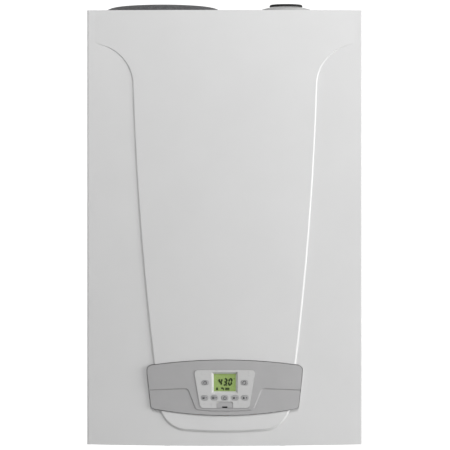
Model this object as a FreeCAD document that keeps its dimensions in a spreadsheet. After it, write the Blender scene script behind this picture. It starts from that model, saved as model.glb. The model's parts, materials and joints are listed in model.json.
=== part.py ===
import FreeCAD, Part
import math
import os
import Sketcher

# Wall-hung gas boiler with a built-in storage cylinder, in millimetres.
# +X is to the right seen from the front, -Y faces the room, +Z is up.
# The wall is the plane y = 0; the origin is midway between the wall-screw holes of the bracket.

V = FreeCAD.Vector
doc = FreeCAD.newDocument("gas_boiler")
sheet = doc.addObject("Spreadsheet::Sheet", "Sizes")

sizes = {
    # casing
    "case_width": 600, "case_height": 950, "case_depth": 466, "hang_drop": 60,
    "steel": 1.2, "panel_depth": 362, "cover_gap": 1, "lip_gap": 0.5,
    "frame_depth": 16, "edge_round": 3,
    # wall bracket and its hooks
    "bracket_half": 220, "bracket_high": 22, "bracket_low": 30, "bracket_steel": 3,
    "hole_half": 180, "hole_radius": 5, "hook_half": 100, "hook_width": 50,
    "hook_level": 9, "hook_reach": 22, "hook_lip": 10, "hook_play": 1, "hook_slot": 17,
    # front cover
    "cover_bow": 4, "shield_bow": 9.5, "edge_dip": 0.5, "fascia_proud": 6, "foot_arc": 3,
    "press_slope": 1, "shield_reach": 9, "shield_setback": 3,
    "shield_brow": 60, "shield_wing": 72.3,
    "shield_shoulder": 155, "shield_hip": 862, "shield_sole": 914.4, "shield_foot": 919,
    "wing_radius": 600, "turn_radius": 98, "side_radius": 7000, "sole_radius": 61.6,
    "cutout_gap": 1, "screw_half": 120, "screw_radius": 2.5, "screw_head": 5,
    "screw_head_high": 3, "screw_length": 14, "screw_play": 0.4,
    # control fascia
    "fascia_crown": 763, "fascia_brow": 774, "brow_half": 158, "fascia_ear": 785, "ear_half": 169.3,
    "fascia_cheek": 863, "cheek_half": 160.9, "fascia_jaw": 869, "jaw_half": 153, "fascia_chin": 882.6,
    "ear_radius": 12, "cheek_radius": 9, "fascia_bow": 5, "fascia_deep": 16, "fascia_wall": 2.5,
    "band_foot": 824.4, "band_turn_half": 85.8, "tongue_drop": 830.4, "tongue_half": 78.4,
    "tongue_heel": 864, "tongue_heel_half": 65.5, "tongue_sole": 871.5, "tongue_sole_half": 55,
    "tongue_foot": 874.5, "tongue_radius": 10, "wing_step": 2, "plate_proud": 0.8, "fit_gap": 0.25,
    # keypad plate, display and board
    "plate_top": 784, "plate_ear": 792, "plate_half": 66, "plate_brow_half": 58, "plate_cheek": 859,
    "plate_cheek_half": 54.6, "plate_foot": 867, "plate_foot_half": 47, "plate_round": 8.2,
    "plate_thick": 3, "plate_ledge": 4, "plate_body": 6,
    "window_half_wide": 28.2, "window_top": 788.5, "window_foot": 834.9, "window_depth": 6,
    "window_draft": 36, "lens_margin": 2, "lens_thick": 1, "panel_thick": 7,
    "board_half_wide": 120, "board_top": 790, "board_foot": 860, "board_thick": 1.6,
    "switch_radius": 3, "switch_gap": 1.1,
    "key_upper_half": 42.7, "key_upper_drop": 811.6, "key_lower_drop": 844.5, "key_outer_half": 43.9,
    "key_inner_half": 22.6, "key_wide": 14.6, "key_tall": 10.4, "key_round": 4.4, "key_proud": 0.9,
    "key_gap": 0.35, "key_flange": 1.5, "key_flange_thick": 1.4, "key_bevel": 0.5, "bevel_angle": 45,
    # service flap
    "flap_half": 16.9, "flap_top": 853.7, "flap_foot": 866.6, "flap_round": 5.5, "flap_thick": 2.6,
    "flap_gap": 0.7, "flap_bay": 5, "flap_bay_round": 3, "flap_axis_drop": 1.6, "flap_axis_depth": 1.2,
    "flap_pin_radius": 0.6,
    "flap_pin_half": 19, "flap_pin_play": 0.06, "finger_half": 5.7, "finger_tall": 3.2,
    # control box and its brackets
    "box_depth": 46, "box_wall": 2.5, "box_inset": 1.2, "post_radius": 4, "post_half": 105,
    "arm_high": 30, "arm_thick": 2, "arm_drop": 830, "arm_tab": 40, "arm_foot": 40,
    # storage cylinder
    "tank_front_gap": 8, "jacket_side_gap": 12.5, "jacket_depth_gap": 25, "jacket_wall": 20,
    "tank_steel": 1.5, "tank_top_drop": 8,
    "tank_low": 640, "tank_dish": 34, "jacket_gap": 0.4, "jacket_floor": 20,
    "jacket_split_drop": 90, "dome_rise": 28.4, "dome_rim": 6,
    "dome_knuckle": 44, "dome_shoulder": 5.3, "dome_inset": 38, "top_hole_gap": 1,
    "tank_stub_radius": 12, "tank_stub_long": 26, "saddle_half": 60, "saddle_tall": 40,
    "saddle_drop": 420,
    # flue
    "flue_y": 180, "flue_radius": 40, "flue_wall": 2, "flue_bore": 30.4,
    "socket_flange": 66, "socket_flange_thick": 3, "socket_radius": 55, "socket_rise": 22,
    "socket_land": 27, "seal_radius": 37.4, "seal_high": 5.6, "seal_foot": 36,
    "flue_hole": 57, "spigot_long": 18, "spigot_gap": 0.4,
    # heat exchanger and burner
    "drum_gap": 17.5, "drum_flange": 6, "drum_wall": 24, "drum_back": 90, "drum_setback": 136,
    "collar_rise": 22, "elbow_below": 20, "elbow_lead": 38,
    "drum_rim_thick": 8, "hearth_back": 130, "collar_wall": 3,
    "foot_plate_half": 70, "foot_plate_thick": 4,
    "door_thick": 14, "door_inset": 4, "door_bolt": 4, "bolt_inset": 10,
    "elbow_half": 30, "elbow_deep": 50, "elbow_wall": 4,
    "burner_radius": 32, "burner_wall": 1.5, "burner_gap": 64, "electrode_gap": 30,
    "rod_radius": 1.5, "rod_long": 70, "insulator_radius": 5, "insulator_out": 22,
    "electrode_play": 0.1,
    # fan, mixer and gas valve
    "fan_drop": 490, "fan_setback": 68, "fan_deep": 56, "fan_outlet": 22, "fan_wall": 3,
    "valve_gap": 8.5, "wheel_gap": 18, "inlet_radius": 34, "motor_radius": 46,
    "wheel_deep": 36, "wheel_disc": 3, "blade_thick": 2, "blade_deep": 14,
    "wheel_bore": 4.06, "hub_radius": 10, "motor_long": 76,
    "shaft_radius": 4, "mixer_radius": 40, "mixer_long": 32,
    "throat_radius": 20,
    "feed_radius": 8, "valve_deep": 78, "valve_lap": 42, "valve_half_tall": 50, "coil_radius": 15,
    "coil_high": 34,
    "valve_tab": 3, "cast_round": 8,
    # water side
    "tail_large": 13.2, "tail_small": 10.5, "tail_out": 17,
    "tail_wall": 2.5, "tail_gap": 0.8, "nut_radius": 18, "nut_thick": 6, "pipe_radius": 9, "bend": 28,
    "group_ahead": 35, "group_behind": 45, "group_high": 790,
    "group_low": 850, "diverter_radius": 26, "diverter_high": 734,
    "pump_ahead": 40, "pump_back": 60, "pump_high": 770,
    "pump_low": 850, "pump_margin": 1, "pump_motor_long": 104, "pump_cap_long": 38, "pump_cap_step": 6,
    "pump_motor_rise": 44,
    "relief_radius": 13, "relief_long": 30, "relief_knob": 17, "relief_knob_long": 20,
    "relief_stem": 4, "relief_stem_long": 16, "knob_play": 0.06, "knob_gap": 0.5,
    "tap_knob": 14, "tap_knob_long": 20, "tap_stem": 5, "tap_hole_gap": 1,
    "vent_radius": 14, "vent_high": 52, "vent_cap": 8,
    "vessel_gap": 11.5, "vessel_crimp": 6, "vessel_drop": 540, "vessel_back": 18, "vessel_thick": 112,
    "vessel_rim_thick": 8, "vessel_steel": 2, "vessel_stub": 9, "vessel_stub_long": 22,
    "flow_y": 36, "return_ahead": 15, "socket_deep": 12,
    "cross_drop": 772, "gas_cross_drop": 740,
    # condensate
    "drain_y": 235, "drain_radius": 11, "trap_radius": 38, "trap_lid": 3, "trap_lid_high": 14,
    "trap_high": 680, "trap_low": 850, "trap_outlet": 12, "drain_out": 14,
    # cable gland
    "gland_y": 120, "gland_radius": 11, "gland_bore": 4.5, "gland_nut": 15,
    "gland_nut_thick": 6, "gland_long": 34,
}


class Formula:
    # A length: its number now, and the expression that the document keeps for it.
    def __init__(self, value, text):
        self.value = value
        self.text = text

    def __add__(self, other):
        other = formula(other)
        return Formula(self.value + other.value, "(%s + %s)" % (self.text, other.text))

    def __sub__(self, other):
        other = formula(other)
        return Formula(self.value - other.value, "(%s - %s)" % (self.text, other.text))

    def __mul__(self, other):
        other = formula(other)
        return Formula(self.value * other.value, "(%s * %s)" % (self.text, other.text))

    def __truediv__(self, other):
        other = formula(other)
        return Formula(self.value / other.value, "(%s / %s)" % (self.text, other.text))

    def __neg__(self):
        return Formula(-self.value, "(0 - %s)" % self.text)


def formula(thing):
    if isinstance(thing, Formula):
        return thing
    return Formula(float(thing), repr(float(thing)))


class Sheet:
    # The cells of the sheet by their aliases.
    pass


s = Sheet()
for row, (alias, number) in enumerate(sizes.items(), start=1):
    cell = "A%d" % row
    sheet.set(cell, str(number))
    sheet.setAlias(cell, alias)
    setattr(s, alias, Formula(float(number), "Sizes." + alias))
doc.recompute()

# Outline points of the shield and places across the casing, as shares of its width
width_shares = {
    "wing_half": 0.4397, "shoulder_half": 0.3298, "hip_half": 0.2353, "sole_half": 0.1533,
    "tank_x": 0.2325, "flue_x": 0.2325, "valve_left": 0.373333, "valve_right": 0.483333,
    "tail_pitch": 0.108333, "group_left": 0.266667, "group_right": 0.133333,
    "pump_left": 0.146667, "pump_right": 0.296667, "tap_x": 0.173333, "flow_x": 0.03,
    "flow_stub_x": 0.106667, "return_x": 0.186667, "drain_x": 0.386667, "gland_x": 0.37,
}
for alias, share in width_shares.items():
    setattr(s, alias, s.case_width * share)


def smaller(one, other):
    return Formula(min(one.value, other.value), "min(%s; %s)" % (one.text, other.text))


def larger(one, other):
    return Formula(max(one.value, other.value), "max(%s; %s)" % (one.text, other.text))


# What follows from the depth of the cover, of the panels and of the whole casing
cover_shares = {"lip_length": 0.192308, "screw_inset": 0.115385}
for alias, share in cover_shares.items():
    setattr(s, alias, (s.case_depth - s.panel_depth) * share)
s.fascia_back = s.case_depth - s.fascia_deep
s.jacket_radius = smaller(s.case_width / 2 - s.tank_x - s.jacket_side_gap,
                          (s.panel_depth - s.frame_depth) / 2 - s.jacket_depth_gap)
s.tank_y = s.panel_depth - s.tank_front_gap - s.jacket_radius
s.tank_radius = s.jacket_radius - s.jacket_wall
s.dome_shoulder_radius = s.jacket_radius - s.dome_inset
port_shares = {"hot": (0.3671875, 0.0625), "cold": (0.5234375, 0.4375)}
ports = {}
for alias, (right_share, front_share) in port_shares.items():
    ports[alias] = (s.tank_radius * right_share - s.tank_x, -s.tank_y - s.tank_radius * front_share)
tail_share = 0.41436464
s.tail_y = s.panel_depth * tail_share
s.group_front = s.tail_y + s.group_ahead
s.group_back = s.tail_y - s.group_behind
s.pump_front = s.tail_y + s.pump_ahead
s.return_y = s.tail_y + s.return_ahead
s.drum_rim = s.flue_x - s.drum_gap
s.drum_radius = s.drum_rim - s.drum_flange
s.hearth_radius = s.drum_radius - s.drum_wall
s.door_radius = s.drum_rim - s.door_inset
s.door_bolt_circle = s.door_radius - s.bolt_inset
s.electrode_half = s.burner_radius + s.electrode_gap
s.fan_radius = s.valve_left - s.flue_x - s.valve_gap
s.wheel_radius = s.fan_radius - s.wheel_gap
s.pump_motor_radius = (s.pump_right - s.pump_left) / 2 - s.pump_margin
s.vessel_rim = s.flue_x - s.vessel_gap
s.vessel_radius = s.vessel_rim - s.vessel_crimp
s.drum_front = s.case_depth - s.drum_setback
s.burner_long = s.drum_front - s.hearth_back + s.door_thick - s.burner_gap
s.fan_front = s.case_depth - s.fan_setback
s.fan_back = s.fan_front - s.fan_deep
s.feed_depth = s.fan_front + s.mixer_long / 2
s.valve_back = s.fan_front - s.valve_lap
s.valve_front = s.valve_back + s.valve_deep

# What follows from the level of the fan, which hangs under the exchanger's door
s.valve_high = s.fan_drop - s.valve_half_tall
s.valve_low = s.fan_drop + s.valve_half_tall
s.elbow_foot = s.fan_drop - s.fan_radius - s.fan_outlet
s.drum_drop = s.elbow_foot - s.elbow_below - s.drum_rim
s.elbow_top = s.drum_drop - s.elbow_lead
s.collar_top = s.drum_drop - s.drum_rim - s.collar_rise
s.drain_stub_drop = s.drum_drop + s.drum_rim


def bind(thing, prop, length):
    thing.setExpression(prop, formula(length).text)


TURNS = {
    "Z": FreeCAD.Rotation(),
    "-Z": FreeCAD.Rotation(V(1, 0, 0), 180),
    "Y": FreeCAD.Rotation(V(1, 0, 0), -90),
    "-Y": FreeCAD.Rotation(V(1, 0, 0), 90),
    "X": FreeCAD.Rotation(V(0, 1, 0), 90),
    "-X": FreeCAD.Rotation(V(0, 1, 0), -90),
}


def place(thing, at, along="Z"):
    thing.Placement = FreeCAD.Placement(V(0, 0, 0), TURNS[along])
    for axis, length in zip("xyz", at):
        bind(thing, "Placement.Base." + axis, length)
    return thing


def block(name, low, high):
    # A box between two opposite corners.
    box = doc.addObject("Part::Box", name)
    for prop, start, end in zip(("Length", "Width", "Height"), low, high):
        bind(box, prop, formula(end) - start)
    return place(box, low)


def rod(name, radius, foot, length, along="Z"):
    bar = doc.addObject("Part::Cylinder", name)
    bind(bar, "Radius", radius)
    bind(bar, "Height", length)
    return place(bar, foot, along)


def nut(name, radius, foot, length, along="Z"):
    # A six-sided nut; the radius is taken over its corners.
    bar = doc.addObject("Part::Prism", name)
    bar.Polygon = 6
    bind(bar, "Circumradius", radius)
    bind(bar, "Height", length)
    return place(bar, foot, along)


def fuse(name, *parts):
    joined = doc.addObject("Part::MultiFuse", name)
    joined.Shapes = list(parts)
    joined.Refine = True
    return joined


def common(name, *parts):
    shared = doc.addObject("Part::MultiCommon", name)
    shared.Shapes = list(parts)
    return shared


def cut(name, base, *tools):
    left = doc.addObject("Part::Cut", name)
    left.Base = base
    left.Tool = tools[0] if len(tools) == 1 else fuse(name + "_tools", *tools)
    return left


def tube(name, outer, inner, foot, length, along="Z"):
    wall = rod(name + "_wall", outer, foot, length, along)
    return cut(name, wall, rod(name + "_bore", inner, foot, length, along))


class Arc:
    # The edge between two corners of an outline is an arc; hollow ones turn the other way.
    def __init__(self, radius, hollow=False):
        self.radius = formula(radius)
        self.hollow = hollow


def arc_edge(start, end, arc):
    # The arc's centre lies left of the way from start to end, or right of it when hollow.
    (ax, ay), (bx, by) = start, end
    chord = math.hypot(bx - ax, by - ay)
    reach = math.sqrt(max(arc.radius.value ** 2 - chord ** 2 / 4, 0))
    side = -1 if arc.hollow else 1
    mx, my = (ax + bx) / 2, (ay + by) / 2
    centre = V(mx - side * (by - ay) / chord * reach, my + side * (bx - ax) / chord * reach, 0)
    first, last = ((bx, by), (ax, ay)) if arc.hollow else (start, end)
    angles = [math.atan2(y - centre.y, x - centre.x) for x, y in (first, last)]
    if angles[1] < angles[0]:
        angles[1] += 2 * math.pi
    return Part.ArcOfCircle(Part.Circle(centre, V(0, 0, 1), arc.radius.value), angles[0], angles[1])


def draw(sketch, path):
    # A closed outline: corners given as pairs of lengths, with an Arc between two corners where wanted.
    corners = [item for item in path if not isinstance(item, Arc)]
    edges = []
    for place_in_path, item in enumerate(path):
        if isinstance(item, Arc):
            continue
        follows = path[(place_in_path + 1) % len(path)]
        edges.append(follows if isinstance(follows, Arc) else None)
    count = len(corners)
    spots = [(formula(x).value, formula(y).value) for x, y in corners]
    starts = []
    ends = []
    for index, arc in enumerate(edges):
        start, end = spots[index], spots[(index + 1) % count]
        if arc is None:
            edge = Part.LineSegment(V(start[0], start[1], 0), V(end[0], end[1], 0))
        else:
            edge = arc_edge(start, end, arc)
        number = sketch.addGeometry(edge, False)
        hollow = arc is not None and arc.hollow
        starts.append((number, 2 if hollow else 1))
        ends.append((number, 1 if hollow else 2))
    rules = []
    bound = []
    for index in range(count):
        following = starts[(index + 1) % count]
        rules.append(Sketcher.Constraint("Coincident", *ends[index], *following))
    for index, (x, y) in enumerate(corners):
        for kind, length in (("DistanceX", formula(x)), ("DistanceY", formula(y))):
            bound.append((len(rules), length))
            rules.append(Sketcher.Constraint(kind, -1, 1, *starts[index], length.value))
    for index, arc in enumerate(edges):
        if arc is not None:
            bound.append((len(rules), arc.radius))
            rules.append(Sketcher.Constraint("Radius", starts[index][0], arc.radius.value))
    sketch.addConstraint(rules)
    for number, length in bound:
        sketch.setExpression("Constraints[%d]" % number, length.text)
    return sketch


PLANES = {
    "front": (FreeCAD.Rotation(V(1, 0, 0), 90), "y"),
    "plan": (FreeCAD.Rotation(), "z"),
    "side": (FreeCAD.Rotation(V(1, 1, 1), 120), "x"),
}


def drawing(name, plane, level, path):
    # A sketch on a front, plan or side plane at a given y, z or x.
    sketch = doc.addObject("Sketcher::SketchObject", name)
    turn, axis = PLANES[plane]
    sketch.Placement = FreeCAD.Placement(V(0, 0, 0), turn)
    bind(sketch, "Placement.Base." + axis, level)
    return draw(sketch, path)


def prism(name, plane, level, path, ahead, behind=0):
    # Ahead is towards the room for a front outline, up for a plan and right for a side view.
    body = doc.addObject("Part::Extrusion", name)
    body.Base = drawing(name + "_outline", plane, level, path)
    body.DirMode = "Normal"
    body.Solid = True
    bind(body, "LengthFwd", ahead)
    bind(body, "LengthRev", behind)
    return body


def spin(name, plane, level, path, base, axis):
    # A turned piece: the outline lies on one side of the axis.
    body = doc.addObject("Part::Revolution", name)
    body.Source = drawing(name + "_outline", plane, level, path)
    body.Axis = axis
    body.Angle = 360
    body.Solid = True
    for letter, length in zip("xyz", base):
        bind(body, "Base." + letter, length)
    return body


def pipe(name, radius, bend, points):
    # A round pipe along straight runs joined by tangent bends.
    spots = [V(*[formula(length).value for length in point]) for point in points]
    edges = []
    start = spots[0]
    for before, corner, after in zip(spots, spots[1:], spots[2:]):
        back = (before - corner).normalize()
        on = (after - corner).normalize()
        half = back.getAngle(on) / 2
        trim = bend.value / math.tan(half)
        inward = (back + on).normalize()
        middle = corner + inward * (bend.value / math.sin(half) - bend.value)
        near, far = corner + back * trim, corner + on * trim
        edges.append(Part.makeLine(start, near))
        edges.append(Part.Arc(near, middle, far).toShape())
        start = far
    edges.append(Part.makeLine(start, spots[-1]))
    spine = doc.addObject("Part::Feature", name + "_run")
    spine.Shape = Part.Wire(edges)
    ring = doc.addObject("Part::Circle", name + "_ring")
    bind(ring, "Radius", radius)
    ring.Placement = FreeCAD.Placement(spots[0], FreeCAD.Rotation(V(0, 0, 1), spots[1] - spots[0]))
    sweep = doc.addObject("Part::Sweep", name)
    sweep.Sections = [ring]
    sweep.Spine = (spine, ["Edge%d" % (index + 1) for index in range(len(edges))])
    sweep.Solid = True
    sweep.Frenet = False
    return sweep


nodes = []


def node(label, shape):
    # The finished sub-part under the name of its file.
    shape.Label = label
    nodes.append(shape)
    return shape


def mirrored_path(half_path):
    # The left half of an outline from top to foot, then its right half from foot to top.
    right = []
    for item in reversed(half_path):
        right.append(item if isinstance(item, Arc) else (-item[0], item[1]))
    return right


def bow_radius(half_chord, bow):
    return (half_chord * half_chord + bow * bow) / (bow * 2)


half = s.case_width / 2
top = s.hang_drop
foot = s.hang_drop - s.case_height
wide = s.case_width
crown = s.fascia_proud - s.case_depth
corner = crown + s.shield_bow - s.edge_dip
cover_back = -(s.panel_depth + s.cover_gap)


def below(drop):
    # A level given by its drop under the top of the casing.
    return s.hang_drop - drop


def bowed(name, half_wide, back, edge, bow, low, high):
    # A slab whose front is bowed in plan, with rounded upright edges.
    chord = half_wide - s.edge_round
    turn = edge + s.edge_round
    path = [(-half_wide, back), (-half_wide, turn), Arc(s.edge_round), (-chord, edge),
            Arc(bow_radius(chord, bow)), (chord, edge), Arc(s.edge_round), (half_wide, turn),
            (half_wide, back)]
    return prism(name, "plan", low, path, high - low)


# Wall bracket: a flat bar with two hooks bent up from it
bracket_bar = block("bracket_bar", (-s.bracket_half, -s.bracket_steel, -s.bracket_low),
                    (s.bracket_half, 0, s.bracket_high))
bracket_pieces = [bracket_bar]
bracket_holes = []
for side, sign in (("left", -1), ("right", 1)):
    middle = s.hook_half * sign
    start = middle - s.hook_width / 2
    end = middle + s.hook_width / 2
    under = s.hook_level - s.bracket_steel
    bracket_pieces.append(block("hook_%s_arm" % side, (start, -s.hook_reach, under),
                                (end, -s.bracket_steel, s.hook_level)))
    bracket_pieces.append(block("hook_%s_lip" % side, (start, -s.hook_reach, under),
                                (end, s.bracket_steel - s.hook_reach, s.hook_level + s.hook_lip)))
    bracket_holes.append(rod("wall_hole_%s" % side, s.hole_radius, (s.hole_half * sign, 0, 0),
                             s.bracket_steel, "-Y"))
node("wall_bracket", cut("wall_bracket", fuse("bracket_blank", *bracket_pieces), *bracket_holes))

# Rear frame: a shallow pan with its rim on the wall and two slots that hang on the hooks
rim_half = half - s.steel
pan = block("pan", (-rim_half, -s.frame_depth, foot + s.steel), (rim_half, 0, top - s.steel))
pan_inside = block("pan_inside", (s.steel - rim_half, s.steel - s.frame_depth, foot + s.steel * 2),
                   (rim_half - s.steel, 0, top - s.steel * 2))
pan_cuts = [pan_inside]
for side, sign in (("left", -1), ("right", 1)):
    middle = s.hook_half * sign
    reach = s.hook_width / 2 + s.hook_play
    pan_cuts.append(block("hook_slot_%s" % side,
                          (middle - reach, -s.frame_depth, s.hook_level - s.hook_slot),
                          (middle + reach, 0, s.hook_level)))
    pan_cuts.append(rod("screw_access_%s" % side, s.hole_radius * 3, (s.hole_half * sign, 0, 0),
                        s.frame_depth, "-Y"))
node("rear_frame", cut("rear_frame", pan, *pan_cuts))

# Side panels: flat sheets whose front edge is set inwards to slip under the cover
lip_out = half - s.steel - s.lip_gap
lip_in = lip_out - s.steel
lip_end = -(s.panel_depth + s.lip_length)
jog = s.steel - s.panel_depth
for side, sign in (("left", -1), ("right", 1)):
    panel = [(half, 0), (half - s.steel, 0), (half - s.steel, jog), (lip_in, jog), (lip_in, lip_end),
             (lip_out, lip_end), (lip_out, -s.panel_depth), (half, -s.panel_depth)]
    path = [(x * sign, y) for x, y in panel]
    lip_ends = []
    for level, low, high in (("high", top - s.lip_length, top), ("low", foot, foot + s.lip_length)):
        near, far = (lip_in, half) if sign > 0 else (-half, -lip_in)
        lip_ends.append(block("%s_lip_%s" % (side, level), (near, lip_end, low),
                              (far, jog - s.steel, high)))
    panel_sheet = prism(side + "_sheet", "plan", foot, path, top - foot)
    node(side + "_side_panel", cut(side + "_side_panel", panel_sheet, *lip_ends))

# Top panel and bottom tray lie between the side panels
deck_half = half - s.steel


def deck(name, outer, inward, clear):
    # Inward is -1 for the top panel and 1 for the bottom tray; the lip reaches under the cover.
    step = s.steel * inward
    drop = clear * inward
    inner = outer + step
    profile = [(0, outer), (0, inner), (jog, inner), (jog, inner + drop + step),
               (lip_end, inner + drop + step), (lip_end, inner + drop), (-s.panel_depth, inner + drop),
               (-s.panel_depth, outer)]
    lip_half = lip_in - s.cover_gap
    sheet_part = prism(name + "_sheet", "side", -deck_half, profile, deck_half * 2)
    ends = []
    for side, sign in (("left", -1), ("right", 1)):
        near = lip_half if sign > 0 else -deck_half
        far = deck_half if sign > 0 else -lip_half
        under = outer - s.steel * 5 if inward < 0 else outer
        above = outer if inward < 0 else outer + s.steel * 5
        ends.append(block(name + "_end_" + side, (near, lip_end, under), (far, jog, above)))
    return sheet_part, ends


tank_x = -s.tank_x
tank_y = -s.tank_y
flue_x = s.flue_x
flue_y = -s.flue_y
top_sheet, top_ends = deck("top", top, -1, s.lip_gap)
dome_hole = rod("dome_hole", s.jacket_radius + s.top_hole_gap, (tank_x, tank_y, top - s.steel), s.steel)
flue_hole = rod("flue_hole", s.flue_hole, (flue_x, flue_y, top - s.steel), s.steel)
node("top_panel", cut("top_panel", top_sheet, dome_hole, flue_hole, *top_ends))

tail_y = -s.tail_y
tails = {
    "flow": (-s.tail_pitch * 2, s.tail_large),
    "hot": (-s.tail_pitch, s.tail_small),
    "gas": (formula(0), s.tail_large),
    "cold": (s.tail_pitch, s.tail_small),
    "return": (s.tail_pitch * 2, s.tail_large),
}
tray_sheet, tray_ends = deck("tray", foot, 1, s.lip_gap + s.foot_arc)
tray_holes = []
for name, (x, radius) in tails.items():
    tray_holes.append(rod(name + "_hole", radius + s.tail_gap, (x, tail_y, foot), s.steel))
tray_holes.append(rod("tap_hole", s.tap_stem + s.tap_hole_gap,
                      (s.tap_x, -s.pump_front + s.tap_knob, foot), s.steel))
tray_holes.append(rod("drain_hole", s.trap_outlet + s.tail_gap, (s.drain_x, -s.drain_y, foot), s.steel))
for side, sign in (("left", -1), ("right", 1)):
    tray_holes.append(rod("tray_screw_hole_" + side, s.screw_radius + s.screw_play / 4,
                          (s.screw_half * sign, cover_back - s.screw_inset, foot), s.screw_length))
tray_holes.append(rod("gland_hole", s.gland_radius + s.fit_gap, (s.gland_x, -s.gland_y, foot), s.steel))
node("bottom_tray", cut("bottom_tray", tray_sheet, *tray_holes, *tray_ends))


# Front cover: a bowed pressing with a raised shield, open at the back
def shield_path(grow):
    # Grow moves the outline square to itself; each corner's pair of shares is its outward direction.
    def spot(half_wide, drop, outward_share, downward_share):
        return (-half_wide - grow * outward_share, below(drop) - grow * downward_share)

    left = [
        spot(wide, s.shield_brow, 0, 1), spot(half, s.shield_brow, 0, 1), Arc(s.wing_radius - grow, True),
        spot(s.wing_half, s.shield_wing, 0.31, 0.95), Arc(s.turn_radius - grow, True),
        spot(s.shoulder_half, s.shield_shoulder, 1, 0.05), Arc(s.side_radius + grow),
        spot(s.hip_half, s.shield_hip, 0.99, 0.13), Arc(s.sole_radius + grow),
        spot(s.sole_half, s.shield_sole, 0.15, 0.99),
    ]
    rise = s.shield_foot - s.shield_sole
    return ([(-wide, top + s.case_depth)] + left + [Arc(bow_radius(s.sole_half + grow * 0.15, rise))]
            + mirrored_path(left) + [(wide, top + s.case_depth)])


def flared(name, level, path_of, ahead, behind):
    # A block with sloping sides: its outline grows from front to back.
    sides = doc.addObject("Part::Loft", name)
    sides.Sections = [
        drawing(name + "_fore", "front", level - ahead, path_of(-ahead * s.press_slope)),
        drawing(name + "_aft", "front", level + behind, path_of(behind * s.press_slope)),
    ]
    sides.Solid = True
    sides.Ruled = True
    return sides


def cover_blank(prefix, inset, back):
    base = bowed(prefix + "_base", half - inset, back, corner + inset, s.cover_bow, foot, top)
    high = bowed(prefix + "_high", half - inset, back, corner + inset + s.edge_dip, s.shield_bow, foot,
                 top)
    shield = flared(prefix + "_shield", crown + s.shield_setback + inset, shield_path,
                    s.shield_reach, s.shield_reach)
    face = fuse(prefix + "_face", base, common(prefix + "_raised", high, shield))
    low = foot + s.foot_arc + inset
    rim = [(inset - half, top - inset), (inset - half, low), Arc(bow_radius(half - inset, s.foot_arc)),
           (half - inset, low), (half - inset, top - inset)]
    return common(prefix, face, prism(prefix + "_rim", "front", back, rim, s.case_depth))


def fascia_path(grow):
    left = [
        (-s.brow_half, below(s.fascia_brow) + grow), Arc(s.ear_radius + grow),
        (-s.ear_half - grow, below(s.fascia_ear)), (-s.cheek_half - grow, below(s.fascia_cheek)),
        Arc(s.cheek_radius + grow), (-s.jaw_half, below(s.fascia_jaw) - grow),
        Arc(bow_radius(s.jaw_half, s.fascia_chin - s.fascia_jaw)),
    ]
    return left + mirrored_path(left[:-1]) + [Arc(bow_radius(s.brow_half,
                                                             s.fascia_brow - s.fascia_crown))]


cover_out = cover_blank("cover_out", formula(0), cover_back)
cover_in = cover_blank("cover_in", s.steel, cover_back + s.steel)
cutout = prism("cutout", "front", cover_back - s.lip_length, fascia_path(s.cutout_gap), s.case_depth)
screw_y = cover_back - s.screw_inset
cover_slots = []
for side, sign in (("left", -1), ("right", 1)):
    middle = s.screw_half * sign
    reach = s.screw_radius + s.screw_play
    cover_slots.append(block("cover_slot_" + side, (middle - reach, screw_y - reach, foot),
                             (middle + reach, cover_back, foot + s.foot_arc + s.steel * 2)))
node("front_cover", cut("front_cover", cover_out, cover_in, cutout, *cover_slots))

# Cover screws stand in the tray's lip and pass through the cover's open slots
cover_screws = []
for side, sign in (("left", -1), ("right", 1)):
    x = s.screw_half * sign
    cover_screws.append(fuse("cover_screw_" + side,
                             rod("screw_shank_" + side, s.screw_radius, (x, screw_y, foot - s.foot_arc),
                                 s.screw_length + s.foot_arc),
                             rod("screw_cap_" + side, s.screw_head,
                                 (x, screw_y, foot - s.screw_head_high - s.lip_gap), s.screw_head_high)))
screw_group = doc.addObject("Part::Compound", "cover_screws")
screw_group.Links = cover_screws
node("cover_screws", screw_group)

# Control fascia: a bowed moulding with a raised band and tongue over two lower wings
fascia_crown = s.plate_proud - s.case_depth
fascia_reach = s.ear_half + s.edge_round * 2
fascia_edge = fascia_crown + s.fascia_bow


def fascia_slab(name, setback):
    return bowed(name, fascia_reach, -s.fascia_back, fascia_edge + setback, s.fascia_bow,
                 below(s.fascia_chin + s.edge_round), below(s.fascia_crown - s.edge_round))


def tongue_path(grow):
    def spot(half_wide, drop, outward_share, downward_share):
        return (-half_wide - grow * outward_share, below(drop) - grow * downward_share)

    left = [
        spot(fascia_reach * 2, s.band_foot, 0, 1), spot(s.band_turn_half, s.band_foot, 0.1, 1),
        Arc(s.tongue_radius - grow, True), spot(s.tongue_half, s.tongue_drop, 0.93, 0.37),
        spot(s.tongue_heel_half, s.tongue_heel, 0.93, 0.37), Arc(s.tongue_radius + grow),
        spot(s.tongue_sole_half, s.tongue_sole, 0.1, 1),
    ]
    rise = s.tongue_foot - s.tongue_sole
    high = below(s.fascia_crown) + s.case_depth
    return ([(-fascia_reach * 2, high)] + left + [Arc(bow_radius(s.tongue_sole_half + grow * 0.1, rise))]
            + mirrored_path(left) + [(fascia_reach * 2, high)])


tongue = flared("tongue", fascia_crown + s.wing_step, tongue_path, s.wing_step * 2,
                s.fascia_bow + s.wing_step)
fascia_face = fuse("fascia_face", fascia_slab("fascia_low", s.wing_step),
                   common("fascia_raised", fascia_slab("fascia_high", formula(0)), tongue))
fascia_blank = common("fascia_blank", fascia_face,
                      prism("fascia_prism", "front", -s.fascia_back, fascia_path(formula(0)),
                            s.case_depth - s.fascia_back))
fascia_hollow = common("fascia_hollow", fascia_slab("hollow_slab", s.wing_step + s.fascia_wall),
                       prism("hollow_prism", "front", -s.fascia_back, fascia_path(-s.fascia_wall),
                             s.case_depth - s.fascia_back))


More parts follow.
